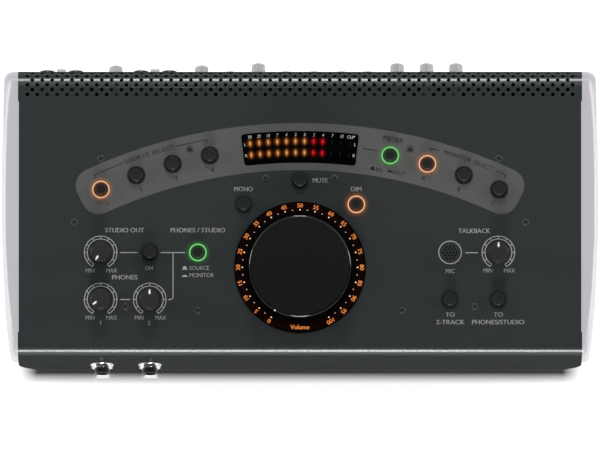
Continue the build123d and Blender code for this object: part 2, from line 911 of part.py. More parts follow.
phones_places = [(x, phones_jack_height) for x in phones_jacks]
with BuildPart() as phones_jack_bodies:
    with BuildSketch(facing_rear(front_wall_y)):
        with Locations(*phones_places):
            Rectangle(jack_body_width, jack_body_height)
    extrude(amount=-connector_depth)
    with BuildSketch(facing_rear(front_wall_y)):
        with Locations(*phones_places):
            Circle(jack_bushing_radius)
    extrude(amount=cover_sheet + phones_jack_reach)
    with BuildSketch(facing_rear(front_y - phones_jack_reach)):
        with Locations(*phones_places):
            Circle(jack_bore_radius)
    extrude(amount=-(phones_jack_reach + cover_sheet + jack_length), mode=Mode.SUBTRACT)
save(phones_jack_bodies, "phones_jack_bodies")

with BuildPart() as phones_jack_nuts:
    with BuildSketch(facing_rear(front_y)):
        with Locations(*phones_places):
            Circle(phones_washer_radius)
            Circle(jack_bushing_radius, mode=Mode.SUBTRACT)
    extrude(amount=phones_washer_thickness)
    with BuildSketch(facing_rear(front_y - phones_washer_thickness)):
        with Locations(*phones_places):
            RegularPolygon(phones_nut_flats / 2, 6, major_radius=False)
            Circle(jack_bushing_radius, mode=Mode.SUBTRACT)
    extrude(amount=phones_nut_thickness)
save(phones_jack_nuts, "phones_jack_nuts")

# Phono sockets
phono_centres = [(x, lower_row) for x in phono_places]
with BuildPart() as phono_sockets:
    with BuildSketch(facing_rear(connector_front_y)):
        with Locations(*phono_centres):
            Rectangle(phono_body, phono_body)
    extrude(amount=connector_depth)
    with BuildSketch(facing_rear(connector_front_y)):
        with Locations(*phono_centres):
            Circle(phono_radius)
    extrude(amount=connector_front_y - rear_y - phono_reach)
    with BuildSketch(facing_rear(rear_y + phono_reach)):
        with Locations(*phono_centres):
            Circle(phono_bore_radius)
    extrude(amount=phono_bore_depth, mode=Mode.SUBTRACT)
save(phono_sockets, "phono_sockets")

# Computer socket: square shell round a tongue
with BuildPart() as usb_socket:
    with BuildSketch(facing_rear(rear_wall_y)):
        with Locations((usb_place, socket_row)):
            Rectangle(usb_width, usb_height)
    extrude(amount=tray_sheet + connector_depth)
    with BuildSketch(facing_rear(rear_wall_y)):
        with Locations((usb_place, socket_row)):
            Rectangle(usb_width - 2 * usb_wall, usb_height - 2 * usb_wall)
            Rectangle(usb_tongue_width, usb_tongue_height, mode=Mode.SUBTRACT)
    extrude(amount=usb_opening_depth, mode=Mode.SUBTRACT)
save(usb_socket, "usb_socket")

# Low-voltage inlet: round face, blind bore and centre pin
with BuildPart() as power_inlet:
    with BuildSketch(facing_rear(connector_front_y)):
        with Locations((inlet_place, socket_row)):
            Rectangle(inlet_width, inlet_width)
    extrude(amount=connector_depth)
    with BuildSketch(facing_rear(connector_front_y)):
        with Locations((inlet_place, socket_row)):
            Circle(inlet_face_radius)
    extrude(amount=-tray_sheet)
    with BuildSketch(facing_rear(rear_wall_y)):
        with Locations((inlet_place, socket_row)):
            Circle(inlet_bore_radius)
    extrude(amount=inlet_depth, mode=Mode.SUBTRACT)
    with BuildSketch(facing_rear(rear_wall_y - inlet_pin_back)):
        with Locations((inlet_place, socket_row)):
            Circle(inlet_pin_radius)
    extrude(amount=inlet_depth)
save(power_inlet, "power_inlet")
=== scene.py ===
import bpy
import bmesh
import json
import numpy as np
from math import cos, pi, radians, sin
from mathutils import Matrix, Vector

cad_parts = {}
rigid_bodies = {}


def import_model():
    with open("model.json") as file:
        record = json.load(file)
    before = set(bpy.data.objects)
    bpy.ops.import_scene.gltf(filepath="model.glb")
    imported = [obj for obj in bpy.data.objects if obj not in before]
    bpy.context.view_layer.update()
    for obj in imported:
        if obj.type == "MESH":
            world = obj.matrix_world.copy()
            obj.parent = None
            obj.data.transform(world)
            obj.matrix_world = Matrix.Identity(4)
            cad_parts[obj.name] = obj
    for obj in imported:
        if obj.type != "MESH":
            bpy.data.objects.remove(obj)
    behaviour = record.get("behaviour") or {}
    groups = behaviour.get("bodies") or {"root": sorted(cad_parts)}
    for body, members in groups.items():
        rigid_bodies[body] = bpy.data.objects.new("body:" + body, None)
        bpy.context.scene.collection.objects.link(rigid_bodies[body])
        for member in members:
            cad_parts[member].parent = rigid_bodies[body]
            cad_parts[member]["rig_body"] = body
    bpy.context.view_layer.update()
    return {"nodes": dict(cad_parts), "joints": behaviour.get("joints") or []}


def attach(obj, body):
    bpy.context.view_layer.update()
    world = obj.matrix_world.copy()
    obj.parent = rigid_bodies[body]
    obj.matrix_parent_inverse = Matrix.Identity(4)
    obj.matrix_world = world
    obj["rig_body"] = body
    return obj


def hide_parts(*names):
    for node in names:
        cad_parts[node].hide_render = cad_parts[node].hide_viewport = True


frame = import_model()
mm = 0.001
print("frame loaded:", len(frame["nodes"]), "nodes")


# the panel's own plane: across, up the slope and out of the panel
joints = {joint["name"]: joint for joint in frame["joints"]}
panelOrigin = np.array(joints["volume_turn"]["pos_m"])
panelNormal = -np.array(joints["volume_turn"]["axis"])
panelUp = np.array((0.0, panelNormal[2], -panelNormal[1]))
panelAxes = np.array(((1.0, 0.0, 0.0), panelUp, panelNormal))


def toWorld(points):
    # panel coordinates (across, up, out) in metres become scene coordinates
    return np.asarray(points, float) @ panelAxes + panelOrigin


def toPanel(points):
    # the way back: the offset from the panel's origin along each of its three axes
    return (np.asarray(points, float) - panelOrigin) @ panelAxes.T


def meshPoints(mesh):
    points = np.zeros(len(mesh.vertices) * 3)
    mesh.vertices.foreach_get("co", points)
    return points.reshape(-1, 3)


def nodePoints(node):
    return meshPoints(frame["nodes"][node].data)


def nodeOnPanel(node):
    # middle of a node across and up the panel, and how far it reaches in and out
    points = toPanel(nodePoints(node))
    low, high = points.min(0), points.max(0)
    return (low[0] + high[0]) / 2, (low[1] + high[1]) / 2, low[2], high[2]


# shader maths and one way to make a node
class Wire:
    # a node's output that can be used in ordinary sums
    def __init__(self, sheet, socket):
        self.sheet = sheet
        self.socket = socket

    def work(self, operation, first, second=None):
        values = {0: first} if second is None else {0: first, 1: second}
        return self.sheet.node("Math", {"operation": operation}, values)

    def __add__(self, other):
        return self.work("ADD", self, other)

    def __radd__(self, other):
        return self.work("ADD", other, self)

    def __sub__(self, other):
        return self.work("SUBTRACT", self, other)

    def __rsub__(self, other):
        return self.work("SUBTRACT", other, self)

    def __mul__(self, other):
        return self.work("MULTIPLY", self, other)

    def __rmul__(self, other):
        return self.work("MULTIPLY", other, self)

    def __truediv__(self, other):
        return self.work("DIVIDE", self, other)

    def __rpow__(self, other):
        return self.work("POWER", other, self)

    def __abs__(self):
        return self.work("ABSOLUTE", self)

    def below(self, other):
        return self.work("LESS_THAN", self, other)

    def largest(self, other):
        return self.work("MAXIMUM", self, other)

    def clamp(self):
        return self.sheet.node("Clamp", {}, {"Value": self})

    def hypot(self, other):
        # long side of the right angle that this and the other value make
        return self.work("SQRT", self * self + other * other)

    def bell(self):
        # 1 where this squared distance is nothing, and falling as it grows
        return 2.718 ** (0.0 - self)

    def along(self, direction):
        # how far this vector reaches along a direction
        return self.sheet.node("VectorMath", {"operation": "DOT_PRODUCT"}, {0: self, 1: tuple(direction)}, "Value")


class Sheet:
    # the node sheet of a material or of the world
    def __init__(self, owner):
        owner.use_nodes = True
        self.owner = owner
        self.tree = owner.node_tree
        self.tree.nodes.clear()

    def node(self, kind, settings, values, output=0):
        made = self.tree.nodes.new("ShaderNode" + kind)
        for name, value in settings.items():
            setattr(made, name, value)
        for name, value in values.items():
            socket = made.inputs[name]
            if isinstance(value, Wire):
                self.tree.links.new(value.socket, socket)
            else:
                socket.default_value = value
        return Wire(self, made.outputs[output]) if made.outputs else None

    def place(self):
        return self.node("TexCoord", {}, {}, "Object")

    def noise(self, size, detail=2.0, roughness=0.5):
        # noise whose grains are about this many metres across
        values = {"Vector": self.place(), "Scale": 1 / size, "Detail": detail, "Roughness": roughness}
        return self.node("TexNoise", {}, values, "Fac")

    def blend(self, factor, first, second):
        # mix of two colours, each a link or three numbers
        values = {0: factor}
        for socket, value in ((6, first), (7, second)):
            values[socket] = value if isinstance(value, Wire) else (*value, 1.0)
        return self.node("Mix", {"data_type": "RGBA"}, values, 2)

    def bump(self, height, depth, strength=1.0):
        values = {"Height": height, "Distance": depth, "Strength": strength}
        return self.node("Bump", {}, values, "Normal")

    def finish(self, **values):
        # the surface shader; a colour is three numbers or a link
        settings = {}
        for name, value in values.items():
            if isinstance(value, tuple) and len(value) == 3:
                value = (*value, 1.0)
            settings[name.replace("_", " ")] = value
        surface = self.node("BsdfPrincipled", {}, settings, "BSDF")
        self.node("OutputMaterial", {}, {"Surface": surface})
        return self.owner


def linear(red, green, blue):
    # screen colour 0 to 255 as linear light
    share = np.array((red, green, blue)) / 255
    curve = np.where(share <= 0.04045, share / 12.92, ((share + 0.055) / 1.055) ** 2.4)
    return tuple(float(value) for value in curve)


def shaded(colour, share):
    return tuple(value * share for value in colour)


def newSheet(name):
    return Sheet(bpy.data.materials.new(name))


# layout of the panel, in millimetres and degrees about the volume control and the band's centre
layout = {
    "bandCentre": -223.0,
    "bandInner": 282.4,
    "bandOuter": 311.1,
    "bandHalfAngle": 26.8,
    "bandCorner": 10.5,
    "bandScrewAngle": 12.82,
    "bandScrewRadius": 302.4,
    "windowInner": 286.9,
    "windowOuter": 306.2,
    "windowHalfAngle": 6.75,
    "windowCorner": 2.0,
    "buttonRadius": 296.5,
    "ringRadius": 5.5,
    "holeRadius": 5.6,
    "screwRadius": 2.3,
    "litAmber": ("source_1", "monitor_a", "dim"),
    "litGreen": ("meter", "phones_source"),
}


def bandPoint(radius, angle):
    # a point on a circle about the band's centre, angle in degrees to the right
    turn = np.radians(angle)
    return radius * np.sin(turn), layout["bandCentre"] + radius * np.cos(turn)


def panelPoint(across, up):
    return np.array((across, up)) * mm


def onPanel(sheet, origin):
    # how far a shaded point lies across and up the panel from an origin on it
    position = sheet.place()
    return position.along((1, 0, 0)) - float(origin[0]), position.along(panelUp) - float(origin @ panelUp)


# finishes
paintLook = {
    "mottleSize": 0.03,
    "grainSize": 0.00045,
    "grainDepth": 0.00002,
    "edgeTint": (0.2, 0.2, 0.2),
    "roughness": 0.26,
    "haloReach": 0.0034,
    "haloAmber": (0.17, 0.042, 0.001),
    "haloGreen": (0.001, 0.085, 0.003),
}


def paintedSheet(name, colour, mottle, shine, glow=False):
    # powder coat with a fine grain; shine is the share that mirrors, the same at every angle; with glow, the lit
    # rings' light is painted on it as its own emission
    sheet = newSheet(name)
    tone = sheet.blend(sheet.noise(paintLook["mottleSize"]), mottle, colour)
    grain = sheet.noise(paintLook["grainSize"], 3.0, 0.6)
    values = {"Base_Color": tone, "Roughness": paintLook["roughness"] + 0.1 * (grain - 0.5)}
    values |= {"Metallic": shine, "Specular_IOR_Level": 0.0, "Specular_Tint": paintLook["edgeTint"]}
    values["Normal"] = sheet.bump(grain, paintLook["grainDepth"], 0.4)
    if glow:
        values |= {"Emission_Color": ringHalo(sheet), "Emission_Strength": 1.0}
    return sheet.finish(**values)


def ringHalo(sheet):
    # painted light that the lit rings throw on the paint, given to it as emission: the square of how near the ring's
    # edge is
    position = sheet.place()
    edge = layout["ringRadius"] * mm

    def near(names):
        total = 0.0
        for name in names:
            centre = toWorld((*nodeOnPanel("button_" + name)[:2], 0.0))
            away = sheet.node("VectorMath", {"operation": "DISTANCE"}, {0: position, 1: tuple(centre)}, "Value")
            total = (1 - (away - edge).largest(0.0) / paintLook["haloReach"]).clamp() + total
        return total * total

    amber = sheet.blend(near(layout["litAmber"]), (0, 0, 0), paintLook["haloAmber"])
    green = sheet.blend(near(layout["litGreen"]), (0, 0, 0), paintLook["haloGreen"])
    return sheet.node("VectorMath", {"operation": "ADD"}, {0: amber, 1: green}, "Vector")


def mouldedPlastic(
    name, colour, roughness, grainSize=0.0005, grainDepth=0.00001, shade=0.85, level=0.5, satin=False
):
    # moulded plastic: a slow change of colour and a fine texture from the mould; a satin one mirrors
    # little at low angles, because half of its colour is in the mirrored share
    sheet = newSheet(name)
    full = shaded(colour, 2 if satin else 1)
    grain = sheet.noise(grainSize, 2.0)
    return sheet.finish(
        Base_Color=sheet.blend(sheet.noise(0.012, 3.0), shaded(full, shade), full),
        Roughness=roughness + 0.1 * (grain - 0.5),
        Metallic=0.5 if satin else 0.0,
        Specular_IOR_Level=0.0 if satin else level,
        Specular_Tint=paintLook["edgeTint"] if satin else (1.0, 1.0, 1.0),
        Normal=sheet.bump(grain, grainDepth, 0.6),
    )


glowRing = {"radius": 0.00502, "wide": 0.00034, "limit": 0.008}


def sleeveGlow(name, body, names, dim, bright):
    # clear sleeve with its lamps behind: the light is a bell of the distance from the sleeve's middle
    # radius, measured in the panel's plane from the nearest of these buttons
    sheet = newSheet(name)
    total = 0.0
    for away in awayFrom(sheet, names):
        off = (away - glowRing["radius"]) / glowRing["wide"]
        total = (off * off).bell() * away.below(glowRing["limit"]) + total
    uneven = 0.85 + 0.3 * sheet.noise(0.002, 2.0)
    glow = sheet.blend((total * uneven).clamp(), dim, bright)
    return sheet.finish(Base_Color=body, Roughness=0.3, Emission_Color=glow, Emission_Strength=1.0)


def awayFrom(sheet, names):
    # distance from each button's middle, measured in the panel's plane
    position = sheet.place()
    for name in names:
        across, up, _, high = nodeOnPanel("button_" + name)
        centre = toWorld((across, up, high))
        offset = sheet.node("VectorMath", {"operation": "SUBTRACT"}, {0: position, 1: tuple(centre)}, "Vector")
        yield offset.along((1, 0, 0)).hypot(offset.along(panelUp))


# metres from the volume control's axis: the lit figures' circle and how wide their glow spreads,
# and where the knob's polish starts and how much further out it is complete
axisLook = {"glowRadius": 0.0368, "glowWide": 0.0026, "polishFrom": 0.0294, "polishOver": 0.0006}


def scaleGloss(name):
    # gloss black with a painted faint red glow from the lit figures, given as emission: a bell of the distance from
    # their circle
    sheet = newSheet(name)
    side, rise = onPanel(sheet, panelOrigin)
    off = (side.hypot(rise) - axisLook["glowRadius"]) / axisLook["glowWide"]
    grain = sheet.noise(0.0006, 2.0)
    return sheet.finish(
        Base_Color=sheet.blend(grain, (0.0008, 0.0008, 0.0009), (0.0012, 0.0012, 0.0014)),
        Roughness=0.16 + 0.06 * grain,
        Specular_IOR_Level=0.12,
        Normal=sheet.bump(grain, 0.000002, 0.6),
        Emission_Color=sheet.blend((off * off).bell(), (0.0, 0.0, 0.0), (0.0045, 0.0002, 0.0)),
        Emission_Strength=1.0,
    )


def cheekPlastic(name, colour, creaseHighlight):
    # satin silver-grey plastic with a painted highlight: paler where the mesh marks the line between top and side at
    # which the rounding starts
    sheet = newSheet(name)
    grain = sheet.noise(0.0003, 2.0)
    tone = sheet.blend(sheet.noise(0.012, 3.0), shaded(colour, 0.97), colour)
    mark = sheet.node("Attribute", {"attribute_name": "creaseHighlight"}, {}, "Fac")
    return sheet.finish(
        Base_Color=sheet.blend(mark, tone, creaseHighlight),
        Roughness=0.26 + 0.08 * grain,
        Specular_IOR_Level=0.25,
        Normal=sheet.bump(grain, 0.000004, 0.5),
    )


def knobGloss(name, top, rim):
    # black top with a polished rim and side, told apart by the distance from the knob's axis
    sheet = newSheet(name)
    side, rise = onPanel(sheet, panelOrigin)
    outer = ((side.hypot(rise) - axisLook["polishFrom"]) / axisLook["polishOver"]).clamp()
    grain = sheet.noise(0.0004, 2.0)
    return sheet.finish(
        Base_Color=sheet.blend(outer, top, rim),
        Roughness=0.22 - 0.1 * outer + 0.06 * (grain - 0.5),
        Metallic=0.5 + 0.46 * outer,
        Specular_IOR_Level=0.0,
        Specular_Tint=paintLook["edgeTint"],
        Normal=sheet.bump(grain, 0.000003, 0.6),
    )


def platedMetal(name, colour, roughness, scratch=0.15):
    # bright metal with fine turning marks
    sheet = newSheet(name)
    marks = sheet.noise(0.0004, 4.0, 0.7)
    return sheet.finish(
        Base_Color=sheet.blend(marks, shaded(colour, 0.85), colour),
        Metallic=1.0,
        Roughness=roughness + scratch * (marks - 0.5),
        Normal=sheet.bump(marks, 0.000004, 0.5),
    )


def litPlastic(name, body, light, strength):
    # clear plastic with a lamp behind it, a little uneven
    sheet = newSheet(name)
    glow = sheet.blend(sheet.noise(0.003, 2.0), shaded(light, 0.75), light)
    return sheet.finish(Base_Color=body, Roughness=0.3, Emission_Color=glow, Emission_Strength=strength)


def printedInk(name, colour, strength=0.0):
    # screen-printed ink with slightly uneven cover; a strength makes the ink glow in its own colour
    sheet = newSheet(name)
    tone = sheet.blend(sheet.noise(0.0007, 2.0), shaded(colour, 0.88), colour)
    values = {"Base_Color": tone, "Roughness": 0.5, "Specular_IOR_Level": 0.2}
    if strength:
        values |= {"Emission_Color": tone, "Emission_Strength": strength}
    return sheet.finish(**values)


def circuitBoard(name):
    # black solder mask with slightly paler tracks under it
    sheet = newSheet(name)
    tracks = sheet.noise(0.003, 5.0, 0.7)
    return sheet.finish(
        Base_Color=sheet.blend(tracks, linear(8, 9, 9), linear(22, 26, 24)),
        Roughness=0.45,
        Specular_IOR_Level=0.2,
        Normal=sheet.bump(tracks, 0.00003, 0.5),
    )


# the window's bar lights: degrees from one to the next, radii of the two rows, size across and along
# the radius of the haze and of its bright core, their red and amber, and how many are amber and lit
meterGlow = {
    "pitch": 1.057,
    "rows": (300.0, 293.1),
    "haze": (1.45, 1.6),
    "core": (0.6, 1.35),
    "hazeColours": ((0.30, 0.0012, 0.004), (0.33, 0.078, 0.001)),
    "coreColours": ((0.42, 0.012, 0.03), (0.50, 0.30, 0.12)),
    "amber": 7,
    "lit": 9,
}


def smokedWindow(name):
    # dark see-through acrylic with the bar lights' glow painted into it as emission: each light is a bell of the
    # distance from its bar across and along the band, and the bars' places repeat by angle in two rows
    sheet = newSheet(name)
    across, up = onPanel(sheet, panelOrigin + panelUp * layout["bandCentre"] * mm)
    angle = across.work("ARCTAN2", across, up) * (180 / pi / meterGlow["pitch"]) + 6.0
    radius = across.hypot(up) * 1000
    column = angle.work("FLOOR", angle)
    side = (angle - column - 0.5) * (radians(meterGlow["pitch"]) * layout["buttonRadius"])
    lit = column.below(meterGlow["lit"] - 0.5) * (-1.0 * angle).below(0.0)

    def bells(wide, high):
        total = 0.0
        for row in meterGlow["rows"]:
            rise = (radius - row) / high
            total = (side * side / wide**2 + rise * rise).bell() + total
        return total * lit

    amber = column.below(meterGlow["amber"] - 0.5)
    haze = sheet.blend(amber, *meterGlow["hazeColours"])
    core = sheet.blend(amber, *meterGlow["coreColours"])
    haze = sheet.blend(bells(*meterGlow["haze"]), (0, 0, 0), haze)
    core = sheet.blend(bells(*meterGlow["core"]), (0, 0, 0), core)
    return sheet.finish(
        Base_Color=(0.0006, 0.0006, 0.0007),
        Roughness=0.08 + 0.04 * sheet.noise(0.01, 2.0),
        Alpha=0.86,
        Specular_IOR_Level=0.1,
        Emission_Color=sheet.node("VectorMath", {"operation": "ADD"}, {0: haze, 1: core}, "Vector"),
        Emission_Strength=1.0,
    )


capGlow = {
    "start": 0.0012,
    "reach": 0.003,
    "limit": 0.0044,
    "amber": (0.07, 0.014, 0.001),
    "green": (0.001, 0.05, 0.004),
}


def rimGlow(name, body, light):
    # button cap with the light of the sleeve round it painted on as emission: the square of how far out a point is,
    # measured in the panel's plane from the nearest lit button
    sheet = newSheet(name)
    total = 0.0
    for away in awayFrom(sheet, layout["litAmber"] if light == "amber" else layout["litGreen"]):
        out = ((away - capGlow["start"]) / capGlow["reach"]).clamp() * away.below(capGlow["limit"])
        total = out * out + total
    glow = sheet.blend(total, (0, 0, 0), capGlow[light])
    grain = sheet.noise(0.0004, 2.0)
    return sheet.finish(
        Base_Color=sheet.blend(grain, shaded(body, 0.85), body),
        Roughness=0.28 + 0.1 * (grain - 0.5),
        Specular_IOR_Level=0.2,
        Normal=sheet.bump(grain, 0.00001, 0.6),
        Emission_Color=glow,
        Emission_Strength=1.0,
    )


finishes = {
    "cover": paintedSheet("charcoalPowderCoat", (0.068, 0.079, 0.080), (0.063, 0.073, 0.074), 0.6, True),
    "band": paintedSheet("bandInk", (0.122, 0.131, 0.128), (0.114, 0.122, 0.119), 0.2, True),
    "tray": paintedSheet("trayPowderCoat", (0.030, 0.032, 0.032), (0.026, 0.028, 0.028), 0.5),
    # the cheek's second, paler colour is a painted highlight along the start of its top rounding
    "cheek": cheekPlastic("silverGreyCheek", linear(190, 194, 200), linear(244, 244, 247)),
    "knob": knobGloss("knobBlack", (0.0205, 0.0205, 0.0208), (0.042, 0.042, 0.042)),
    "smallKnob": mouldedPlastic("smallKnobBlack", linear(43, 45, 45), 0.3, 0.0004, 0.000004, 0.9, satin=True),
    "cap": mouldedPlastic("buttonCap", linear(38, 41, 41), 0.26, 0.0004, 0.000006, 0.9, satin=True),
    "capAmberGlow": rimGlow("buttonCapAmberGlow", linear(34, 36, 36), "amber"),
    "capGreenGlow": rimGlow("buttonCapGreenGlow", linear(34, 36, 36), "green"),
    "black": mouldedPlastic("blackNylon", linear(12, 12, 12), 0.45, level=0.3),
    "jack": mouldedPlastic("jackBlack", linear(20, 20, 20), 0.35),
    "ring": scaleGloss("scaleRingGloss"),
    "sleeve": mouldedPlastic("darkSleeve", linear(36, 40, 40), 0.3, 0.0005, 0.000004, 0.8, 0.4),
    "trim": mouldedPlastic("greyControl", linear(196, 198, 198), 0.3),
    "level": mouldedPlastic("paleCap", linear(214, 215, 216), 0.35),
    "rubber": mouldedPlastic("footRubber", linear(14, 14, 14), 0.75, 0.0008, 0.00003, 0.7, 0.2),
    "pointer": mouldedPlastic("pointerWhite", linear(236, 236, 234), 0.45, 0.0005, 0.000004, 0.95),
    "screw": mouldedPlastic("screwPaint", linear(60, 64, 64), 0.4, 0.0003, 0.000004, 0.9, 0.2),
    "chrome": platedMetal("nickelPlate", (0.86, 0.86, 0.87), 0.08, 0.05),
    "steel": platedMetal("brightSteel", (0.3, 0.3, 0.31), 0.35),
    "fastener": platedMetal("blackZinc", (0.05, 0.05, 0.052), 0.35),
    "phono": platedMetal("socketPlate", (0.72, 0.72, 0.72), 0.2),
    "board": circuitBoard("solderMask"),
    "window": smokedWindow("smokedAcrylic"),
    "amberRing": sleeveGlow(
        "amberSleeve", (0.03, 0.02, 0.01), layout["litAmber"], linear(118, 62, 34), linear(255, 206, 160)
    ),
    "greenRing": sleeveGlow(
        "greenSleeve", (0.01, 0.03, 0.01), layout["litGreen"], linear(36, 92, 36), linear(140, 232, 138)
    ),
    "amberLamp": litPlastic("amberLamp", (0.1, 0.04, 0.01), linear(255, 203, 152), 1.0),
    "redLamp": litPlastic("redLamp", (0.1, 0.01, 0.01), linear(255, 60, 66), 1.0),
    "darkLamp": mouldedPlastic("unlitLamp", linear(60, 60, 62), 0.3),
    "ghost": mouldedPlastic("unlitBar", linear(44, 44, 46), 0.4, level=0.2),
    "printLight": printedInk("lightInk", linear(176, 181, 180)),
    "printDark": printedInk("darkInk", linear(18, 20, 20)),
    # the white meter figures get a faint painted glow as emission
    "printMeter": printedInk("meterInk", linear(196, 196, 194), 0.12),
    "printOrange": printedInk("orangeLitInk", linear(212, 130, 68), 0.66),
    "dotLit": printedInk("dotLitInk", linear(240, 194, 152), 0.75),
    "dotDim": printedInk("dotDimInk", linear(196, 178, 164), 0.5),
}
print("finishes made:", len(finishes))

nodeFinish = {
    "top_cover": "cover",
    "base_tray": "tray",
    "left_cheek": "cheek",
    "right_cheek": "cheek",
    "rubber_feet": "rubber",
    "case_screws": "fastener",
    "panel_screws": "screw",
    "main_board": "board",
    "connector_board": "board",
    "board_standoffs": "steel",
    "switch_bodies": "black",
    "pot_bodies": "black",
    "volume_pot_body": "black",
    "volume_shaft": "steel",
    "volume_knob": "knob",
    "volume_scale_ring": "ring",
    "light_rings_amber": "amberRing",
    "light_rings_green": "greenRing",
    "light_rings_unlit": "sleeve",
    "meter_window": "window",
    "meter_housing": "black",
    "meter_leds_amber": "amberLamp",
    "meter_leds_red": "redLamp",
    "meter_leds_unlit": "darkLamp",
    "microphone_boot": "rubber",
    "talkback_microphone": "black",
    "rear_jacks": "jack",
    "rear_jack_nuts": "jack",
    "phones_jack_bodies": "jack",
    "phones_jack_nuts": "chrome",
    "phono_sockets": "phono",
    "usb_socket": "steel",
    "power_inlet": "black",
}
prefixFinish = {"button_": "cap", "knob_": "smallKnob", "trim_knob_": "trim", "level_cap_": "level"}
for node, piece in frame["nodes"].items():
    chosen = nodeFinish.get(node) or next(look for start, look in prefixFinish.items() if node.startswith(start))
    piece.data.materials.clear()
    piece.data.materials.append(finishes[chosen])


# meshes
def shadeSmooth(mesh, angle):
    mesh.polygons.foreach_set("use_smooth", np.ones(len(mesh.polygons), bool))
    mesh.set_sharp_from_angle(angle=radians(angle))


def evenNormals(piece):
    # large flat faces keep their own direction where they meet small curved ones
    even = piece.modifiers.new("evenNormals", "WEIGHTED_NORMAL")
    even.keep_sharp = True
    even.weight = 100


def makePiece(name, points, faces, finish, body, smooth=None):
    # one closed mesh from scene points and faces; doubles are merged and faces turned outwards
    mesh = bpy.data.meshes.new(name)
    mesh.from_pydata(np.asarray(points).tolist(), [], [list(face) for face in faces])
    work = bmesh.new()
    work.from_mesh(mesh)
    bmesh.ops.remove_doubles(work, verts=work.verts, dist=2e-7)
    bmesh.ops.dissolve_degenerate(work, edges=work.edges, dist=1e-8)
    bmesh.ops.recalc_face_normals(work, faces=work.faces)
    if work.calc_volume(signed=True) < 0:
        bmesh.ops.reverse_faces(work, faces=work.faces)
    work.to_mesh(mesh)
    work.free()
    if smooth is not None:
        shadeSmooth(mesh, smooth)
    mesh.materials.append(finishes[finish])
    piece = bpy.data.objects.new(name, mesh)
    bpy.context.scene.collection.objects.link(piece)
    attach(piece, body)
    return piece


def smoothCopy(node, name, finish, angle=35):
    # the same shape with its loose triangles joined, so that curved faces shade smoothly
    piece = bpy.data.objects.new(name, frame["nodes"][node].data.copy())
    bpy.context.scene.collection.objects.link(piece)
    work = bmesh.new()
    work.from_mesh(piece.data)
    bmesh.ops.remove_doubles(work, verts=work.verts, dist=1e-6)
    work.to_mesh(piece.data)
    work.free()
    shadeSmooth(piece.data, angle)
    evenNormals(piece)
    piece.data.materials.clear()
    piece.data.materials.append(finishes[finish])
    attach(piece, frame["nodes"][node]["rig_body"])
    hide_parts(node)
    return piece


def gridFaces(rows, columns, closed=False):
    # quads between neighbours of a grid of points; closed joins the last column to the first
    row, column = np.meshgrid(np.arange(rows - 1), np.arange(columns if closed else columns - 1), indexing="ij")
    row, column = row.ravel(), column.ravel()
    near, far, after = row * columns, (row + 1) * columns, (column + 1) % columns
    return np.stack((near + column, near + after, far + after, far + column), 1)


def barFaces(count):
    # faces of a bar that has a section of four points at each of its places, with both ends closed
    last = 4 * (count - 1)
    return gridFaces(count, 4, True).tolist() + [[3, 2, 1, 0], [last, last + 1, last + 2, last + 3]]


def travelled(line):
    # length of the way to each point of a line
    return np.append(0, np.cumsum(np.linalg.norm(np.diff(line, axis=0), axis=1)))


def spaced(line, places):
    # points of a flat line at these lengths along it
    travel = travelled(line)
    return np.stack((np.interp(places, travel, line[:, 0]), np.interp(places, travel, line[:, 1])), 1)


def turned(profile, centre, steps=72, shape=None):
    # profile of (radius, height) carried round an axis: each point is the centre plus the radius
    # times the direction of its angle; shape may change the radii by angle
    profile = np.asarray(profile, float)
    angle = np.linspace(0, 2 * pi, steps, endpoint=False)
    radius = profile[:, :1] * np.ones(steps)
    if shape is not None:
        radius = shape(radius, angle)
    across = centre[0] + radius * np.cos(angle)
    up = centre[1] + radius * np.sin(angle)
    out = profile[:, 1:] * np.ones(steps)
    return np.stack((across, up, out), -1).reshape(-1, 3), gridFaces(len(profile), steps, True)


def rounded(start, corner, end, radius, steps=6):
    # the arc that rounds a corner of a profile, tangent to both of its sides: a slerp between the
    # directions from its middle to the two points where it touches them
    start, corner, end = (np.asarray(point, float) for point in (start, corner, end))
    first = (start - corner) / np.linalg.norm(start - corner)
    last = (end - corner) / np.linalg.norm(end - corner)
    half = np.arccos(np.clip(first @ last, -1, 1)) / 2
    middle = corner + (first + last) / np.linalg.norm(first + last) * radius / np.sin(half)
    low = corner + first * radius / np.tan(half) - middle
    high = corner + last * radius / np.tan(half) - middle
    sweep = np.linspace(0, 1, steps)[:, None]
    whole = pi - 2 * half
    return middle + (np.sin((1 - sweep) * whole) * low + np.sin(sweep * whole) * high) / np.sin(whole)


def softProfile(corners, radii, steps=6):
    # polyline whose inner corners are rounded by the given radii, 0 for a sharp one
    points = [np.asarray(corners[0], float)[None]]
    for before, corner, after, radius in zip(corners, corners[1:], corners[2:], radii):
        sharp = np.asarray(corner, float)[None]
        points.append(rounded(before, corner, after, radius, steps) if radius else sharp)
    points.append(np.asarray(corners[-1], float)[None])
    return np.concatenate(points)


def meshOf(curve):
    # points and faces of a text or flat curve, which is then thrown away
    holder = bpy.data.objects.new("flat", curve)
    bpy.context.scene.collection.objects.link(holder)
    bpy.context.view_layer.update()
    mesh = bpy.data.meshes.new_from_object(holder.evaluated_get(bpy.context.evaluated_depsgraph_get()))
    points = meshPoints(mesh)
    faces = [list(face.vertices) for face in mesh.polygons]
    bpy.data.objects.remove(holder)
    bpy.data.curves.remove(curve)
    bpy.data.meshes.remove(mesh)
    return points, faces


def lettering(text):
    curve = bpy.data.curves.new("lettering", "FONT")
    curve.body = text
    curve.resolution_u = 3
    curve.extrude = 0.5
    return curve


capHeight = np.ptp(meshOf(lettering("H"))[0][:, 1])


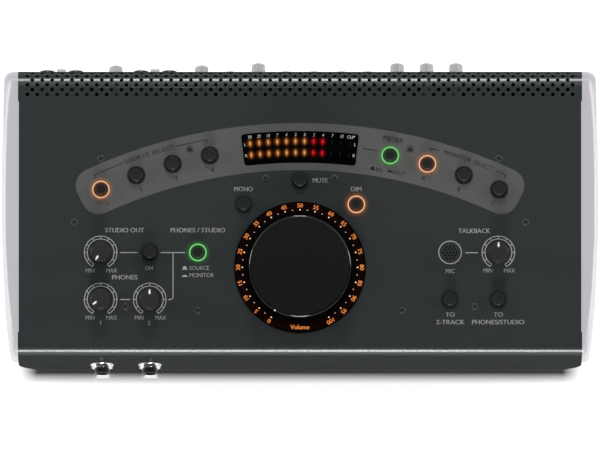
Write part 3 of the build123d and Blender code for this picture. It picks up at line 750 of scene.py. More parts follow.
class Print:
    # flat shapes with a little thickness, gathered into one mesh
    def __init__(self, lift, thick):
        self.points = []
        self.faces = []
        self.count = 0
        self.lift = lift
        self.thick = thick

    def add(self, points, faces):
        points = np.asarray(points, float)
        self.points.append(points)
        self.faces.extend((np.asarray(face) + self.count).tolist() for face in faces)
        self.count += len(points)

    def ribbon(self, path, width):
        # rectangle carried along a path: each point moves half a width along the mean normal
        path = np.asarray(path, float)
        run = np.diff(path, axis=0)
        run /= np.linalg.norm(run, axis=1)[:, None]
        before, after = np.vstack((run[:1], run)), np.vstack((run, run[-1:]))
        along = (before + after) / np.linalg.norm(before + after, axis=1)[:, None]
        side = np.stack((-along[:, 1], along[:, 0]), 1) * width / 2 / (along * after).sum(1)[:, None]
        low, high = np.full(len(path), self.lift), np.full(len(path), self.lift + self.thick)
        section = ((path + side, high), (path - side, high), (path - side, low), (path + side, low))
        points = np.stack([np.column_stack(corner) for corner in section], 1).reshape(-1, 3)
        self.add(points, barFaces(len(path)))

    def plate(self, rim):
        # plate with a straight edge all round a closed outline
        rim = np.asarray(rim, float)
        steps = len(rim)
        top = np.column_stack((rim, np.full(steps, self.lift + self.thick)))
        foot = np.column_stack((rim, np.full(steps, self.lift)))
        ends = [list(range(steps, 2 * steps)), list(range(steps))[::-1]]
        self.add(np.concatenate((foot, top)), gridFaces(2, steps, True).tolist() + ends)

    def sheet(self, outlines):
        # plate with holes: the first outline is its edge and the others are left open; the fill works
        # on millimetres, because it would merge points that are this close in metres
        curve = bpy.data.curves.new("outline", "CURVE")
        curve.dimensions = "2D"
        curve.fill_mode = "BOTH"
        curve.extrude = 0.5
        for outline in outlines:
            spline = curve.splines.new("POLY")
            spline.points.add(len(outline) - 1)
            scaled = np.column_stack((outline / mm, np.zeros(len(outline)), np.ones(len(outline))))
            spline.points.foreach_set("co", scaled.ravel())
            spline.use_cyclic_u = True
        points, faces = meshOf(curve)
        self.add(np.column_stack((points[:, :2] * mm, self.lift + self.thick * (points[:, 2] + 0.5))), faces)

    def arc(self, centre, radius, start, end, width, steps=48):
        # stroke along a circle, angles in degrees clockwise from straight up
        turn = np.radians(np.linspace(start, end, steps))
        self.ribbon(np.stack((centre[0] + radius * np.sin(turn), centre[1] + radius * np.cos(turn)), 1), width)

    def words(self, text, centre, height, turn=0.0, slant=0.0, wide=1.0, align="CENTER", bold=0.0, middle=False):
        # lettering from the built-in font, its capitals this high; turn is clockwise in degrees, bold
        # lays a second copy beside the first, and middle centres the ink and not the letter's own box
        curve = lettering(text)
        curve.align_x = align
        curve.align_y = "CENTER"
        curve.shear = slant
        points, faces = meshOf(curve)
        if middle:
            points[:, 0] -= (points[:, 0].min() + points[:, 0].max()) / 2
        scale = height / capHeight
        angle = -radians(turn)
        flat = points[:, :2] * (scale * wide, scale)
        spin = np.array(((cos(angle), sin(angle)), (-sin(angle), cos(angle))))
        out = self.lift + self.thick * (points[:, 2] + 0.5)
        for shift in (-bold / 2, bold / 2) if bold else (0.0,):
            self.add(np.column_stack(((flat + (shift, 0.0)) @ spin + centre, out)), faces)

    def done(self, name, finish, body="case", slot="cover_paint"):
        piece = makePiece(name, toWorld(np.concatenate(self.points)), self.faces, finish, body)
        return piece


def circle(centre, radius, steps=40):
    turn = np.linspace(0, 2 * pi, steps, endpoint=False)
    return np.stack((centre[0] + radius * np.cos(turn), centre[1] + radius * np.sin(turn)), 1)


# folded sheet, rings and metal parts keep their shapes
for node, name, finish in (
    ("top_cover", "coverShell", "cover"),
    ("volume_scale_ring", "scaleRing", "ring"),
    ("light_rings_amber", "amberSleeves", "amberRing"),
    ("light_rings_green", "greenSleeves", "greenRing"),
    ("light_rings_unlit", "darkSleeves", "sleeve"),
    ("meter_window", "meterWindow", "window"),
    ("phones_jack_nuts", "frontNuts", "chrome"),
    ("phones_jack_bodies", "frontJacks", "jack"),
    ("rear_jacks", "rearJacks", "jack"),
    ("phono_sockets", "phonoSockets", "phono"),
    ("rubber_feet", "feet", "rubber"),
):
    smoothCopy(node, name, finish)


# each fold's outer face and radius, and how nearly a face has to lie along the sheet to count as part of it
fold = {"front": (-86.9, 8.0), "rear": (84.8, 9.6), "match": 0.9}


def foldNormals():
    # the folded sheet's shading follows its profile: at each face corner the direction is that of
    # the nearest point of the fold, from straight ahead over the slope to straight back; faces that
    # don't lie along the sheet, such as hole walls, keep their own
    piece = bpy.data.objects["coverShell"]
    piece.modifiers.clear()
    mesh = piece.data
    vertex = np.zeros(len(mesh.loops), int)
    mesh.loops.foreach_get("vertex_index", vertex)
    points = meshPoints(mesh)[vertex] / mm
    normals, totals = np.zeros(len(mesh.polygons) * 3), np.zeros(len(mesh.polygons), int)
    mesh.polygons.foreach_get("normal", normals)
    mesh.polygons.foreach_get("loop_total", totals)
    own = np.repeat(normals.reshape(-1, 3), totals, axis=0)
    slope = np.arctan2(panelNormal[1], panelNormal[2])
    origin = panelOrigin / mm

    def lean(edge, radius, low, high):
        y = edge + radius * (1 if edge < 0 else -1)
        z = origin[2] + (-radius - (y - origin[1]) * panelNormal[1]) / panelNormal[2]
        return np.clip(np.arctan2(points[:, 1] - y, points[:, 2] - z), low, high)

    angle = np.where(points[:, 1] < 0, lean(*fold["front"], -pi / 2, slope), lean(*fold["rear"], slope, pi / 2))
    along = np.stack((np.zeros(len(angle)), np.sin(angle), np.cos(angle)), 1)
    match = (own * along).sum(1)
    chosen = np.where(np.abs(match)[:, None] > fold["match"], np.sign(match)[:, None] * along, own)
    mesh.polygons.foreach_set("use_smooth", np.ones(len(mesh.polygons), bool))
    mesh.normals_split_custom_set(chosen.tolist())


foldNormals()
print("copies shaded")


# the grey band behind the curved row of buttons
printThick = 0.05 * mm
printLift = -0.01 * mm


def bandOutline(inner, outer, half, corner):
    # outline of a stretch of the band: arcs at both radii, whose ends draw in along a circle of the
    # corner's radius over the last of the angle
    turn = np.linspace(0, pi / 2, 10)
    ends = half - np.degrees(corner * (1 - np.sin(turn)) / ((inner + outer) / 2))
    pinch = corner * (1 - np.cos(turn))
    middle = np.linspace(-ends[0], ends[0], 90)[1:-1]
    angles = np.concatenate((-ends[::-1], middle, ends))
    inset = np.concatenate((pinch[::-1], np.zeros(len(middle)), pinch))
    low = np.stack(bandPoint(inner + inset, angles), 1)
    high = np.stack(bandPoint(outer - inset, angles), 1)
    return np.concatenate((low, high[::-1])) * mm


def buildBand():
    # one outline with holes for the window, the buttons on it and two screws
    half, corner = layout["windowHalfAngle"], layout["windowCorner"]
    holes = [bandOutline(layout["windowInner"], layout["windowOuter"], half, corner)]
    for name in ("source_1", "source_2", "source_3", "source_4", "meter", "monitor_a", "monitor_b", "monitor_c"):
        holes.append(circle(nodeOnPanel("button_" + name)[:2], layout["holeRadius"] * mm))
    for angle in (-layout["bandScrewAngle"], layout["bandScrewAngle"]):
        holes.append(circle(panelPoint(*bandPoint(layout["bandScrewRadius"], angle)), layout["screwRadius"] * mm))
    band = Print(printLift, printThick)
    half, corner = layout["bandHalfAngle"], layout["bandCorner"]
    band.sheet([bandOutline(layout["bandInner"], layout["bandOuter"], half, corner), *holes])
    band.done("bandPrint", "band")


buildBand()


# printed lettering and lines
ink = {
    "title": 2.7,
    "small": 2.5,
    "line": 0.5,
    "bold": 0.13,
    "scaleOuter": 9.95,
    "scaleInner": 8.2,
    "scaleHalf": 150.0,
}
knobNames = ("studio_out", "phones_1", "phones_2", "talkback")
titles = (  # each text, its place across and up the panel, and its width as a share of the font's
    ("STUDIO OUT", -106.8, 22.6, 1.0),
    ("PHONES / STUDIO", -62.3, 22.6, 1.03),
    ("PHONES", -106.8, -6.1, 1.04),
    ("MUTE", 12.2, 52.9, 0.92),
    ("MONO", -34.4, 47.7, 0.92),
    ("DIM", 34.3, 47.7, 0.98),
    ("TALKBACK", 106.1, 22.2, 0.98),
    ("TO", 91.5, -28.8, 1.0),
    ("2-TRACK", 91.5, -33.4, 1.08),
    ("TO", 120.8, -28.8, 1.0),
    ("PHONES/STUDIO", 120.6, -33.4, 1.06),
)
labels = (
    ("ON", -91.9, -0.3, 0.84),
    ("MIC", 91.5, -2.3, 0.92),
    ("1", -121.4, -33.9, 1.0),
    ("2", -91.9, -33.9, 1.0),
)
signLabels = (("SOURCE", -0.4, True), ("MONITOR", -4.8, False))  # text, place up, and whether it stands
signAcross, signText = -70.2, -67.4
micRing = (91.4, 9.2, 6.9)
hook = {"across": -77.3, "from": 9.1, "turn": 1.7, "to": -19.5, "end": -80.2}
straightLines = (
    ((-109.6, 9.1), (-99.0, 9.1)),
    ((-84.8, 9.1), (-69.8, 9.1)),
    ((-109.6, -19.5), (-103.5, -19.5)),
    ((100.7, 9.0), (108.3, 9.0)),
)


def buildPrints():
    light = Print(printLift, printThick)
    title, small, line = ink["title"] * mm, ink["small"] * mm, ink["line"] * mm
    for name in knobNames:
        drawScale(light, np.array(nodeOnPanel("knob_" + name)[:2]), line, small)
    bold = ink["bold"] * mm
    for text, across, up, wide in titles:
        light.words(text, panelPoint(across, up), title, wide=wide, bold=bold)
    for text, across, up, wide in labels:
        light.words(text, panelPoint(across, up), small, wide=wide, bold=bold / 2)
    for text, up, raised in signLabels:
        light.words(text, panelPoint(signText, up), small, wide=0.87, align="LEFT", bold=bold / 2)
        drawButtonSign(light, np.array((signAcross, up - 0.2)), 0.0, raised)
    for path in straightLines:
        light.ribbon(np.array(path) * mm, line)
    drawHook(light, line)
    light.arc(panelPoint(*micRing[:2]), micRing[2] * mm, 0, 360, line)
    light.done("panelPrint", "printLight")

    dark = Print(printLift + 0.8 * printThick, printThick)
    drawBandWords(dark, small, 0.8 * line)
    dark.done("bandLettering", "printDark")


def drawScale(sheet, centre, line, small):
    # double arc with a short divider at each 30 degrees, and MIN and MAX below its ends
    half = ink["scaleHalf"]
    outer, inner = ink["scaleOuter"] * mm, ink["scaleInner"] * mm
    sheet.arc(centre, outer, -half, half, line, 72)
    sheet.arc(centre, inner, -half, half, line, 72)
    for angle in [-half, *range(-120, 121, 30), half]:
        direction = np.array((sin(radians(angle)), cos(radians(angle))))
        sheet.ribbon(np.array((centre + direction * inner, centre + direction * outer)), line)
    sheet.words("MIN", centre + panelPoint(-6.4, -11.2), small, wide=0.87, bold=ink["bold"] / 2 * mm)
    sheet.words("MAX", centre + panelPoint(6.6, -11.2), small, wide=0.87, bold=ink["bold"] / 2 * mm)


def drawButtonSign(sheet, place, turn, raised):
    # small side view of a button on its base line, standing or pressed; place is in millimetres
    spin = np.array(((cos(radians(turn)), -sin(radians(turn))), (sin(radians(turn)), cos(radians(turn)))))
    height = 1.5 if raised else 0.6
    for left, low, high in ((-1.8, -0.7, -0.2), (-1.0, -0.2, height - 0.2)):
        corners = np.array(((left, low), (-left, low), (-left, high), (left, high)))
        sheet.plate((corners @ spin + place) * mm)


def drawHook(sheet, line):
    # line from between two buttons down to the second headphone control, with one rounded turn
    turn = np.radians(np.linspace(0, 90, 7))[1:]
    across, low, radius = hook["across"], hook["to"] + hook["turn"], hook["turn"]
    bend = np.stack((across - radius * (1 - np.cos(turn)), low - radius * np.sin(turn)), 1)
    sheet.ribbon(np.vstack(((across, hook["from"]), (across, low), bend, (hook["end"], hook["to"]))) * mm, line)


bandWords = {"wordRadius": 306.2, "wordSpan": 5.85, "numberRadius": 287.2, "bracketDrop": 2.2}
bandTitles = (  # each title's middle angle, and the ends of the brackets before and after it
    ("SOURCE SELECT", -17.45, (-24.15, -20.6), (-14.3, -10.75)),
    ("MONITOR SELECT", 19.6, (15.1, 16.15), (23.0, 24.15)),
)
meterWord = {"angle": 10.68, "wide": 1.06, "lineRadius": 298.0, "lineAngles": (7.35, 9.15)}
meterSigns = (("IN", 9.65, 286.4, True, 0.8), ("OUT", 12.15, 286.9, False, 1.12))
bandNumbers = (("1", -24.14), ("2", -19.66), ("3", -15.17), ("4", -10.68), ("A", 15.17), ("B", 19.66), ("C", 24.14))


def drawBandWords(sheet, small, line):
    radius = bandWords["wordRadius"]
    for text, middle, before, after in bandTitles:
        drawCurvedText(sheet, text, radius, middle, small)
        drawBracket(sheet, radius, before[::-1], line)
        drawBracket(sheet, radius, after, line)
    for text, angle in bandNumbers:
        sheet.words(text, panelPoint(*bandPoint(bandWords["numberRadius"], angle)), small, turn=angle)
    angle = meterWord["angle"]
    sheet.words("METER", panelPoint(*bandPoint(radius, angle)), 1.08 * small, turn=angle, wide=meterWord["wide"])
    for text, angle, reach, raised, before in meterSigns:
        sheet.words(text, panelPoint(*bandPoint(reach, angle)), small, turn=angle)
        drawButtonSign(sheet, np.array(bandPoint(reach + 0.2, angle - before)), angle, raised)
    ends = np.array(meterWord["lineAngles"])
    sheet.ribbon(np.stack(bandPoint(meterWord["lineRadius"], ends), 1) * mm, line)


def drawCurvedText(sheet, text, radius, middle, height):
    # letters one by one along a circle: each takes its own width, and equal gaps fill up the span
    scale = height / capHeight

    def letterWidth(letter):
        return 0.25 * height if letter == " " else np.ptp(meshOf(lettering(letter))[0][:, 0]) * scale

    wide = np.array([letterWidth(letter) for letter in text])
    span = radians(bandWords["wordSpan"]) * radius * mm
    gap = (span - wide.sum()) / (len(text) - 1)
    places = np.cumsum(wide + gap) - gap - wide / 2 - span / 2
    for letter, place in zip(text, places):
        angle = middle + np.degrees(place / (radius * mm))
        if letter != " ":
            sheet.words(letter, panelPoint(*bandPoint(radius, angle)), height, turn=angle, middle=True)


def drawBracket(sheet, radius, angles, line):
    # stroke along the band that turns inwards at its last angle, over a button
    path = np.stack(bandPoint(radius, np.linspace(*angles, 14)), 1)
    foot = np.array(bandPoint(radius - bandWords["bracketDrop"], angles[1]))
    sheet.ribbon(np.vstack((path, foot)) * mm, line)


buildPrints()
print("prints made")


# volume scale: lit figures and dots on the black ring
volumeScale = {
    "figureRadius": 37.6,
    "figureHeight": 2.45,
    "dotRadius": 35.1,
    "largeDot": 0.46,
    "smallDot": 0.34,
    "firstAngle": -150.0,
    "stepAngle": 7.5,
    "wordUp": -36.5,
    "wordHeight": 2.7,
}


def buildVolumeScale():
    top = nodeOnPanel("volume_scale_ring")[3] + printLift
    figures, large, small = (Print(top, printThick) for _ in range(3))
    for index in range(41):
        angle = volumeScale["firstAngle"] + index * volumeScale["stepAngle"]
        direction = np.array((sin(radians(angle)), cos(radians(angle))))
        dots, size = (large, "largeDot") if index % 2 == 0 else (small, "smallDot")
        dots.plate(circle(direction * volumeScale["dotRadius"] * mm, volumeScale[size] * mm, 14))
        if index % 2 == 0:
            place = direction * volumeScale["figureRadius"] * mm
            figures.words(str(index * 5 // 2), place, volumeScale["figureHeight"] * mm, turn=angle, bold=0.14 * mm)
    word = (0.0, volumeScale["wordUp"] * mm)
    figures.words("Volume", word, volumeScale["wordHeight"] * mm, wide=0.93, bold=0.16 * mm)
    figures.done("volumeFigures", "printOrange", slot="scale_plastic")
    large.done("volumeLargeDots", "dotLit", slot="scale_plastic")
    small.done("volumeSmallDots", "dotDim", slot="scale_plastic")


buildVolumeScale()


# meter scale on the window, and the bars that are not lit
meterScale = {"radius": 303.9, "height": 1.85, "sideAngle": 6.42, "barWide": 0.28, "barHigh": 2.5}


def buildMeterScale():
    top = nodeOnPanel("meter_window")[3] + printLift
    figures, bars = Print(top, printThick), Print(top, printThick)
    for index, text in enumerate(("30", "20", "10", "7", "4", "2", "0", "2", "4", "7", "10", "CLIP")):
        angle = (index - 5.5) * meterGlow["pitch"]
        place = panelPoint(*bandPoint(meterScale["radius"], angle))
        figures.words(text, place, meterScale["height"] * mm, turn=angle, slant=0.2, wide=0.88)
        for row in meterGlow["rows"] if index >= meterGlow["lit"] else ():
            half = meterScale["barHigh"] / 2
            ends = np.stack(bandPoint(np.array((row - half, row + half)), angle), 1)
            bars.ribbon(ends * mm, meterScale["barWide"] * mm)
    for row, text in zip(meterGlow["rows"], "LR"):
        for angle in (-meterScale["sideAngle"], meterScale["sideAngle"]):
            place = panelPoint(*bandPoint(row - 0.3, angle))
            figures.words(text, place, meterScale["height"] * mm, turn=angle)
    figures.done("meterFigures", "printMeter", slot="window")
    bars.done("meterDarkBars", "ghost", slot="window")


buildMeterScale()


# turning controls on the panel
# a mark is given by where it starts from the axis, its width and how far down it goes
volumeKnob = {
    "base": 3.0,
    "hub": 7.0,
    "wall": 2.0,
    "draft": 0.3,
    "edge": 1.7,
    "dish": 0.15,
    "lower": 0.04,
    "markAngle": -150.5,
    "mark": (30.1, 1.5, 21.0),
}
smallKnob = {
    "base": 1.2,
    "shaft": 3.0,
    "skirtHigh": 1.8,
    "skirtIn": 0.45,
    "topIn": 0.8,
    "edge": 0.5,
    "dish": 0.15,
    "flutes": 28,
    "fluteDepth": 0.1,
    "mark": (2.7, 1.5, 3.0),
}
markLift = 0.06
pointerAngles = {"studio_out": -150.0, "phones_1": -126.0, "phones_2": 0.0, "talkback": 0.0}


def reachOf(node):
    # a turned node's own middle, its widest radius and how far in and out of the panel it goes
    across, up, low, high = nodeOnPanel(node)
    points = toPanel(nodePoints(node))
    return (across, up), np.hypot(points[:, 0] - across, points[:, 1] - up).max(), low, high


def buildVolumeKnob():
    # profile: hollow underside with a hub, drawn-in side, rounded rim, and a top that dips a little
    centre, wide, low, high = reachOf("volume_knob")
    high -= volumeKnob["lower"] * mm  # its side is steeper than the solid's, so the rim reaches further
    base, hub, wall = (volumeKnob[key] * mm for key in ("base", "hub", "wall"))
    top = wide - volumeKnob["draft"] * mm
    inside = ((0, low), (hub, low), (hub, high - wall), (top - wall, high - wall), (wide - wall, base))
    corners = ((wide - wall, base), (wide, base), (top, high), (0, high - volumeKnob["dish"] * mm))
    outside = softProfile(corners, (0.4 * mm, volumeKnob["edge"] * mm), 9)
    profile = np.concatenate((np.array(inside, float), outside[1:]))
    points, faces = turned(profile, centre, 160)
    knob = makePiece("volumeDial", toWorld(points), faces, "knob", "volume", 35)
    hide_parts("volume_knob")
    buildPointer("volumePointer", outside, centre, volumeKnob["markAngle"], volumeKnob["mark"], "volume")


def buildPointer(name, profile, centre, angle, mark, body):
    # white drop that follows a control's profile from a radius on its top, over the rim and down its
    # side: a small square section is carried along that line, and it comes to a point at the top's end
    start, width, down = mark
    line = profile[::-1]
    line = line[(line[:, 0] > start * mm) & (line[:, 1] > profile[:, 1].max() - down * mm)]
    line = np.vstack(((start * mm, np.interp(start * mm, *profile[::-1].T)), line))
    line = spaced(line, np.linspace(0, travelled(line)[-1], 30))
    run = np.gradient(line, axis=0)
    run /= np.linalg.norm(run, axis=1)[:, None]
    normal = np.stack((-run[:, 1], run[:, 0]), 1)
    stops, shares = np.array((0, 0.55, 1.3, 2.0)), (0.1, 1.0, 0.7, 0.55)
    half = np.interp(travelled(line), stops * width * mm, shares) * width / 2 * mm
    direction = np.array((sin(radians(angle)), cos(radians(angle))))
    side = np.array((direction[1], -direction[0]))
    rows = []
    for offset, sign in ((markLift, 1), (markLift, -1), (-markLift, -1), (-markLift, 1)):
        place = line + normal * offset * mm
        flat = np.array(centre) + place[:, :1] * direction + sign * half[:, None] * side
        rows.append(np.column_stack((flat, place[:, 1])))
    points = np.stack(rows, 1).reshape(-1, 3)
    pointer = makePiece(name, toWorld(points), barFaces(len(line)), "pointer", body, 30)


def buildSmallKnob(name):
    # profile: shaft, skirt, a body whose side has flutes, rounded rim and a shallow dish on top
    centre, wide, low, high = reachOf("knob_" + name)
    base, shaft = smallKnob["base"] * mm, smallKnob["shaft"] * mm
    skirtTop = base + smallKnob["skirtHigh"] * mm
    waist = wide - smallKnob["skirtIn"] * mm
    top = wide - smallKnob["topIn"] * mm
    corners = [(shaft, base), (wide, base), (wide - 0.1 * mm, skirtTop), (waist, skirtTop + 0.3 * mm), (top, high)]
    corners.append((0.0, high - smallKnob["dish"] * mm))
    outside = softProfile(corners, (0.15 * mm, 0.3 * mm, 0.2 * mm, smallKnob["edge"] * mm), 7)
    profile = np.concatenate((((0, low), (shaft, low)), outside))
    fluted = np.clip((profile[:, 1] - skirtTop - 0.5 * mm) / (1.0 * mm), 0, 1)
    fluted *= np.clip((profile[:, 0] - top + 0.8 * mm) / (0.6 * mm), 0, 1)

    def flutes(radius, angle):
        wave = 0.5 - 0.5 * np.cos(smallKnob["flutes"] * angle)
        return radius - smallKnob["fluteDepth"] * mm * fluted[:, None] * wave**2

    points, faces = turned(profile, centre, 6 * smallKnob["flutes"], flutes)
    knob = makePiece(name + "Knob", toWorld(points), faces, "smallKnob", "knob_" + name, 40)
    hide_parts("knob_" + name)
    buildPointer(name + "Pointer", outside, centre, pointerAngles[name], smallKnob["mark"], "knob_" + name)


buildVolumeKnob()
for name in knobNames:
    buildSmallKnob(name)
print("panel controls made")


# button caps
capShape = {"rim": 0.35, "land": 0.35, "dish": 0.32, "skirt": 3.0, "plunger": 1.5}
buttonNames = [node[len("button_"):] for node in frame["nodes"] if node.startswith("button_")]


def buildCap(name):
    # profile: plunger, skirt, straight side, rounded rim, narrow land and a dished top
    centre, wide, low, high = reachOf("button_" + name)
    stem, skirt = capShape["plunger"] * mm, -capShape["skirt"] * mm
    dishStart = wide - (capShape["rim"] + capShape["land"]) * mm
    corners = ((stem, skirt), (wide, skirt), (wide, high), (dishStart, high))
    corners += ((dishStart - 0.5 * mm, high - 0.7 * capShape["dish"] * mm), (0, high - capShape["dish"] * mm))
    outside = softProfile(corners, (0, capShape["rim"] * mm, 0.25 * mm, 0.5 * mm), 7)
    profile = np.concatenate((((0, low), (stem, low)), outside))
    points, faces = turned(profile, centre, 56)
    finish = "capAmberGlow" if name in layout["litAmber"] else "capGreenGlow" if name in layout["litGreen"] else "cap"
    cap = makePiece(name + "Cap", toWorld(points), faces, finish, "button_" + name, 40)
    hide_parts("button_" + name)


for name in buttonNames:
    buildCap(name)
print("button caps made:", len(buttonNames))


# panel screws
screwShape = {"radius": 2.3, "dome": 0.55, "armLong": 1.25, "armWide": 0.26, "depth": 0.75, "shank": 1.1}
screwPlaces = (
    (137.5, 27.8),
    (121.2, 66.5),
    (67.1, 71.9),
    (21.0, 54.4),
    (106.4, -23.6),
    (62.2, -26.0),
)


def buildScrews():
    # head: a dome over radius and angle, sunk by a cross that is full depth where a point lies
    # within half an arm's width of either axis, and whose walls slope over a tenth of a millimetre
    rings = np.array((0, 0.12, 0.2, 0.3, 0.42, 0.55, 0.7, 0.85, 1.0, 1.12, 1.25, 1.4, 1.6, 1.85, 2.1, 2.25, 2.3))
    steps = 64
    angle = np.linspace(0, 2 * pi, steps, endpoint=False)
    radius = rings[:, None] * np.ones(steps)
    east, north = radius * np.cos(angle), radius * np.sin(angle)
    dome = screwShape["dome"] * (1 - (radius / screwShape["radius"]) ** 4)

    def arm(along, beside):
        inside = np.clip((screwShape["armWide"] - abs(beside)) / 0.12 + 0.5, 0, 1)
        return inside * np.clip((screwShape["armLong"] - abs(along)) / 0.2, 0, 1)

    height = dome - screwShape["depth"] * np.maximum(arm(east, north), arm(north, east)) + 0.08
    head = np.stack((east, north, height), -1)
    wide, shank = screwShape["radius"], screwShape["shank"]
    reach, down = np.array(((wide, -0.05), (shank, -0.05), (shank, -6.0), (0.0, -6.0))).T
    foot = (np.outer(reach, np.cos(angle)), np.outer(reach, np.sin(angle)), np.outer(down, np.ones(steps)))
    shape = np.concatenate((head, np.stack(foot, -1))).reshape(-1, 3)
    faces = gridFaces(len(rings) + 4, steps, True)
    points, allFaces = [], []
    for side in (-1, 1):
        for index, (across, up) in enumerate(screwPlaces):
            turn = 0.7 * index + 0.4 * side
            spin = np.array(((cos(turn), sin(turn), 0), (-sin(turn), cos(turn), 0), (0, 0, 1)))
            allFaces.extend((faces + len(points) * len(shape)).tolist())
            points.append(toWorld((shape @ spin + (side * across, up, 0)) * mm))
    screws = makePiece("panelScrewHeads", np.concatenate(points), allFaces, "screw", "case", 40)
    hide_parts("panel_screws")


buildScrews()


# moulded cheeks
cheek = {
    "inner": 171.82,
    "front": -87.15,
    "rear": 85.05,
    "bottom": 2.5,
    "corners": (24.0, 8.2, 9.8, 5.0),
    "along": (0, 7, 16, 38, 68, 92, 116, 134, 157, 171.7),
    "top": (3.0, 3.3, 4.4, 6.7, 8.4, 8.5, 8.3, 8.2, 8.4, 8.4),
    "foot": (4.0, 5.2, 6.4, 8.6, 10.1, 10.8, 11.0, 10.8, 10.2, 9.2),
    "rounding": (  # places on the outline, and there the rounding's depth and inset
        (0.0, 2.5, 3.0, 3.0),
        (-87.15, 26.0, 2.0, 3.0),
        (-86.0, 46.0, 1.8, 2.4),
        (-72.0, 50.6, 0.8, 0.8),
        (-40.0, 56.2, 0.7, 0.7),
        (30.0, 68.5, 0.7, 0.7),
        (50.0, 72.0, 1.3, 1.1),
        (66.0, 74.9, 3.0, 2.3),
        (78.0, 76.8, 5.2, 3.6),
        (85.05, 68.0, 7.0, 4.7),
        (85.05, 10.0, 5.0, 4.0),
    ),
    "seam": 3.2,
    "seamEnds": (-52, 60),
    "flat": 0.7,
    "drawIn": (0.06, 0.14, 0.24, 0.36, 0.48, 0.6, 0.72, 0.84, 0.93, 1.0),
    "creaseAlong": (-87, -72, -40, 30, 50, 66, 78, 85),
    "creaseDeep": (1.8, 0.8, 0.7, 0.7, 1.3, 3.0, 5.2, 7.0),
    "recess": (76.3, 16.0, 3.3, 174.8),  # along, up, radius, and how far out its floor is
    "lip": (171.72, 0.95, -39.4, 101.5),  # across, width, and its two ends up the panel
}


def cheekTop(y):
    # height of the sloping edge over a place along the case
    rise = (y - panelOrigin[1] / mm) * (-panelNormal[1] / panelNormal[2])
    return panelOrigin[2] / mm + rise + 0.25


def cheekReach(y, z):
    # how far the outside stands out: from the reach along the top to the reach along the foot as
    # one less the square of one less the share of the height
    share = np.clip((cheekTop(y) - z) / (cheekTop(y) - cheek["bottom"]), 0, 1)
    top = np.interp(y - cheek["front"], cheek["along"], cheek["top"])
    foot = np.interp(y - cheek["front"], cheek["along"], cheek["foot"])
    return top + (foot - top) * (1 - (1 - share) ** 2)


def cheekOutline():
    # side outline from the middle of the foot forwards, up and back, with a point every 3 mm or less
    front, rear, bottom = cheek["front"], cheek["rear"], cheek["bottom"]
    nose, tail = (front, cheekTop(front)), (rear, cheekTop(rear))
    corners = ((0, bottom), (front, bottom), nose, tail, (rear, bottom), (0, bottom))
    line = softProfile(corners, cheek["corners"], 12)
    travel = travelled(line)
    places = np.unique(np.round(np.concatenate((travel, np.arange(0, travel[-1], 3.0))), 3))[:-1]
    return places, spaced(line, places)


def buildCheek(side, node, name):
    # rings of one outline: the flat inner face, the rounding (a quarter ellipse whose two radii
    # change along the outline) and rings that draw in and meet at points along the middle line
    places, outline = cheekOutline()
    ahead, behind = np.roll(outline, -1, 0), np.roll(outline, 1, 0)
    run = (ahead - behind) / np.linalg.norm(ahead - behind, axis=1)[:, None]
    inward = np.stack((run[:, 1], -run[:, 0]), 1)
    marks = np.array(cheek["rounding"])
    away = np.linalg.norm(outline[None] - marks[:, None, :2], axis=2)
    stops = np.append(places[away.argmin(1)], places[-1] + 3)
    deep = np.interp(places, stops, np.append(marks[:, 2], marks[0, 2]))
    inset = np.interp(places, stops, np.append(marks[:, 3], marks[0, 3]))
    rings = [np.column_stack((np.full(len(outline), cheek["inner"]), outline))]
    land = np.maximum(cheekReach(*outline.T) - deep - cheek["flat"], 0.1)
    rings.append(np.column_stack((cheek["inner"] + land, outline)))
    for turn in np.linspace(0, pi / 2, 9):
        flat = outline + inward * (inset * (1 - cos(turn)))[:, None]
        reach = cheek["inner"] + cheekReach(*flat.T) - deep * (1 - sin(turn))
        rings.append(np.column_stack((reach, flat)))
    edge = outline + inward * inset[:, None]
    middle = np.round(np.clip(edge[:, 0], *cheek["seamEnds"]) / cheek["seam"]) * cheek["seam"]
    goal = np.column_stack((middle, (cheekTop(middle) + cheek["bottom"]) / 2))
    for share in cheek["drawIn"]:
        flat = edge + (goal - edge) * share
        rings.append(np.column_stack((cheek["inner"] + cheekReach(*flat.T), flat)))
    steps = len(outline)
    faces = gridFaces(len(rings), steps, True).tolist() + [list(range(steps))[::-1]]
    points = np.concatenate(rings) * (side * mm, mm, mm)
    piece = makePiece(name, points, faces, "cheek", "case")
    cutRecess(piece, side)
    markCreaseHighlight(piece.data)
    shadeSmooth(piece.data, 50)
    evenNormals(piece)
    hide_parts(node)


def markCreaseHighlight(mesh):
    # attribute for the painted highlight, 1 where the top's rounding starts: a bell of the way across from there,
    # only near the sloping edge
    x, y, z = meshPoints(mesh).T / mm
    deep = np.interp(y, cheek["creaseAlong"], cheek["creaseDeep"])
    off = np.abs(x) - cheek["inner"] - cheekReach(y, z) + 0.7 * deep
    strength = np.exp(-((off / (0.3 + 0.14 * deep)) ** 2)) * np.clip(2.0 - (cheekTop(y) - z) / 0.8, 0, 1)
    strength *= np.interp(y, (-84, -66, 74, 84), (0, 1, 1, 0))
    mesh.attributes.new("creaseHighlight", "FLOAT", "POINT").data.foreach_set("value", strength)


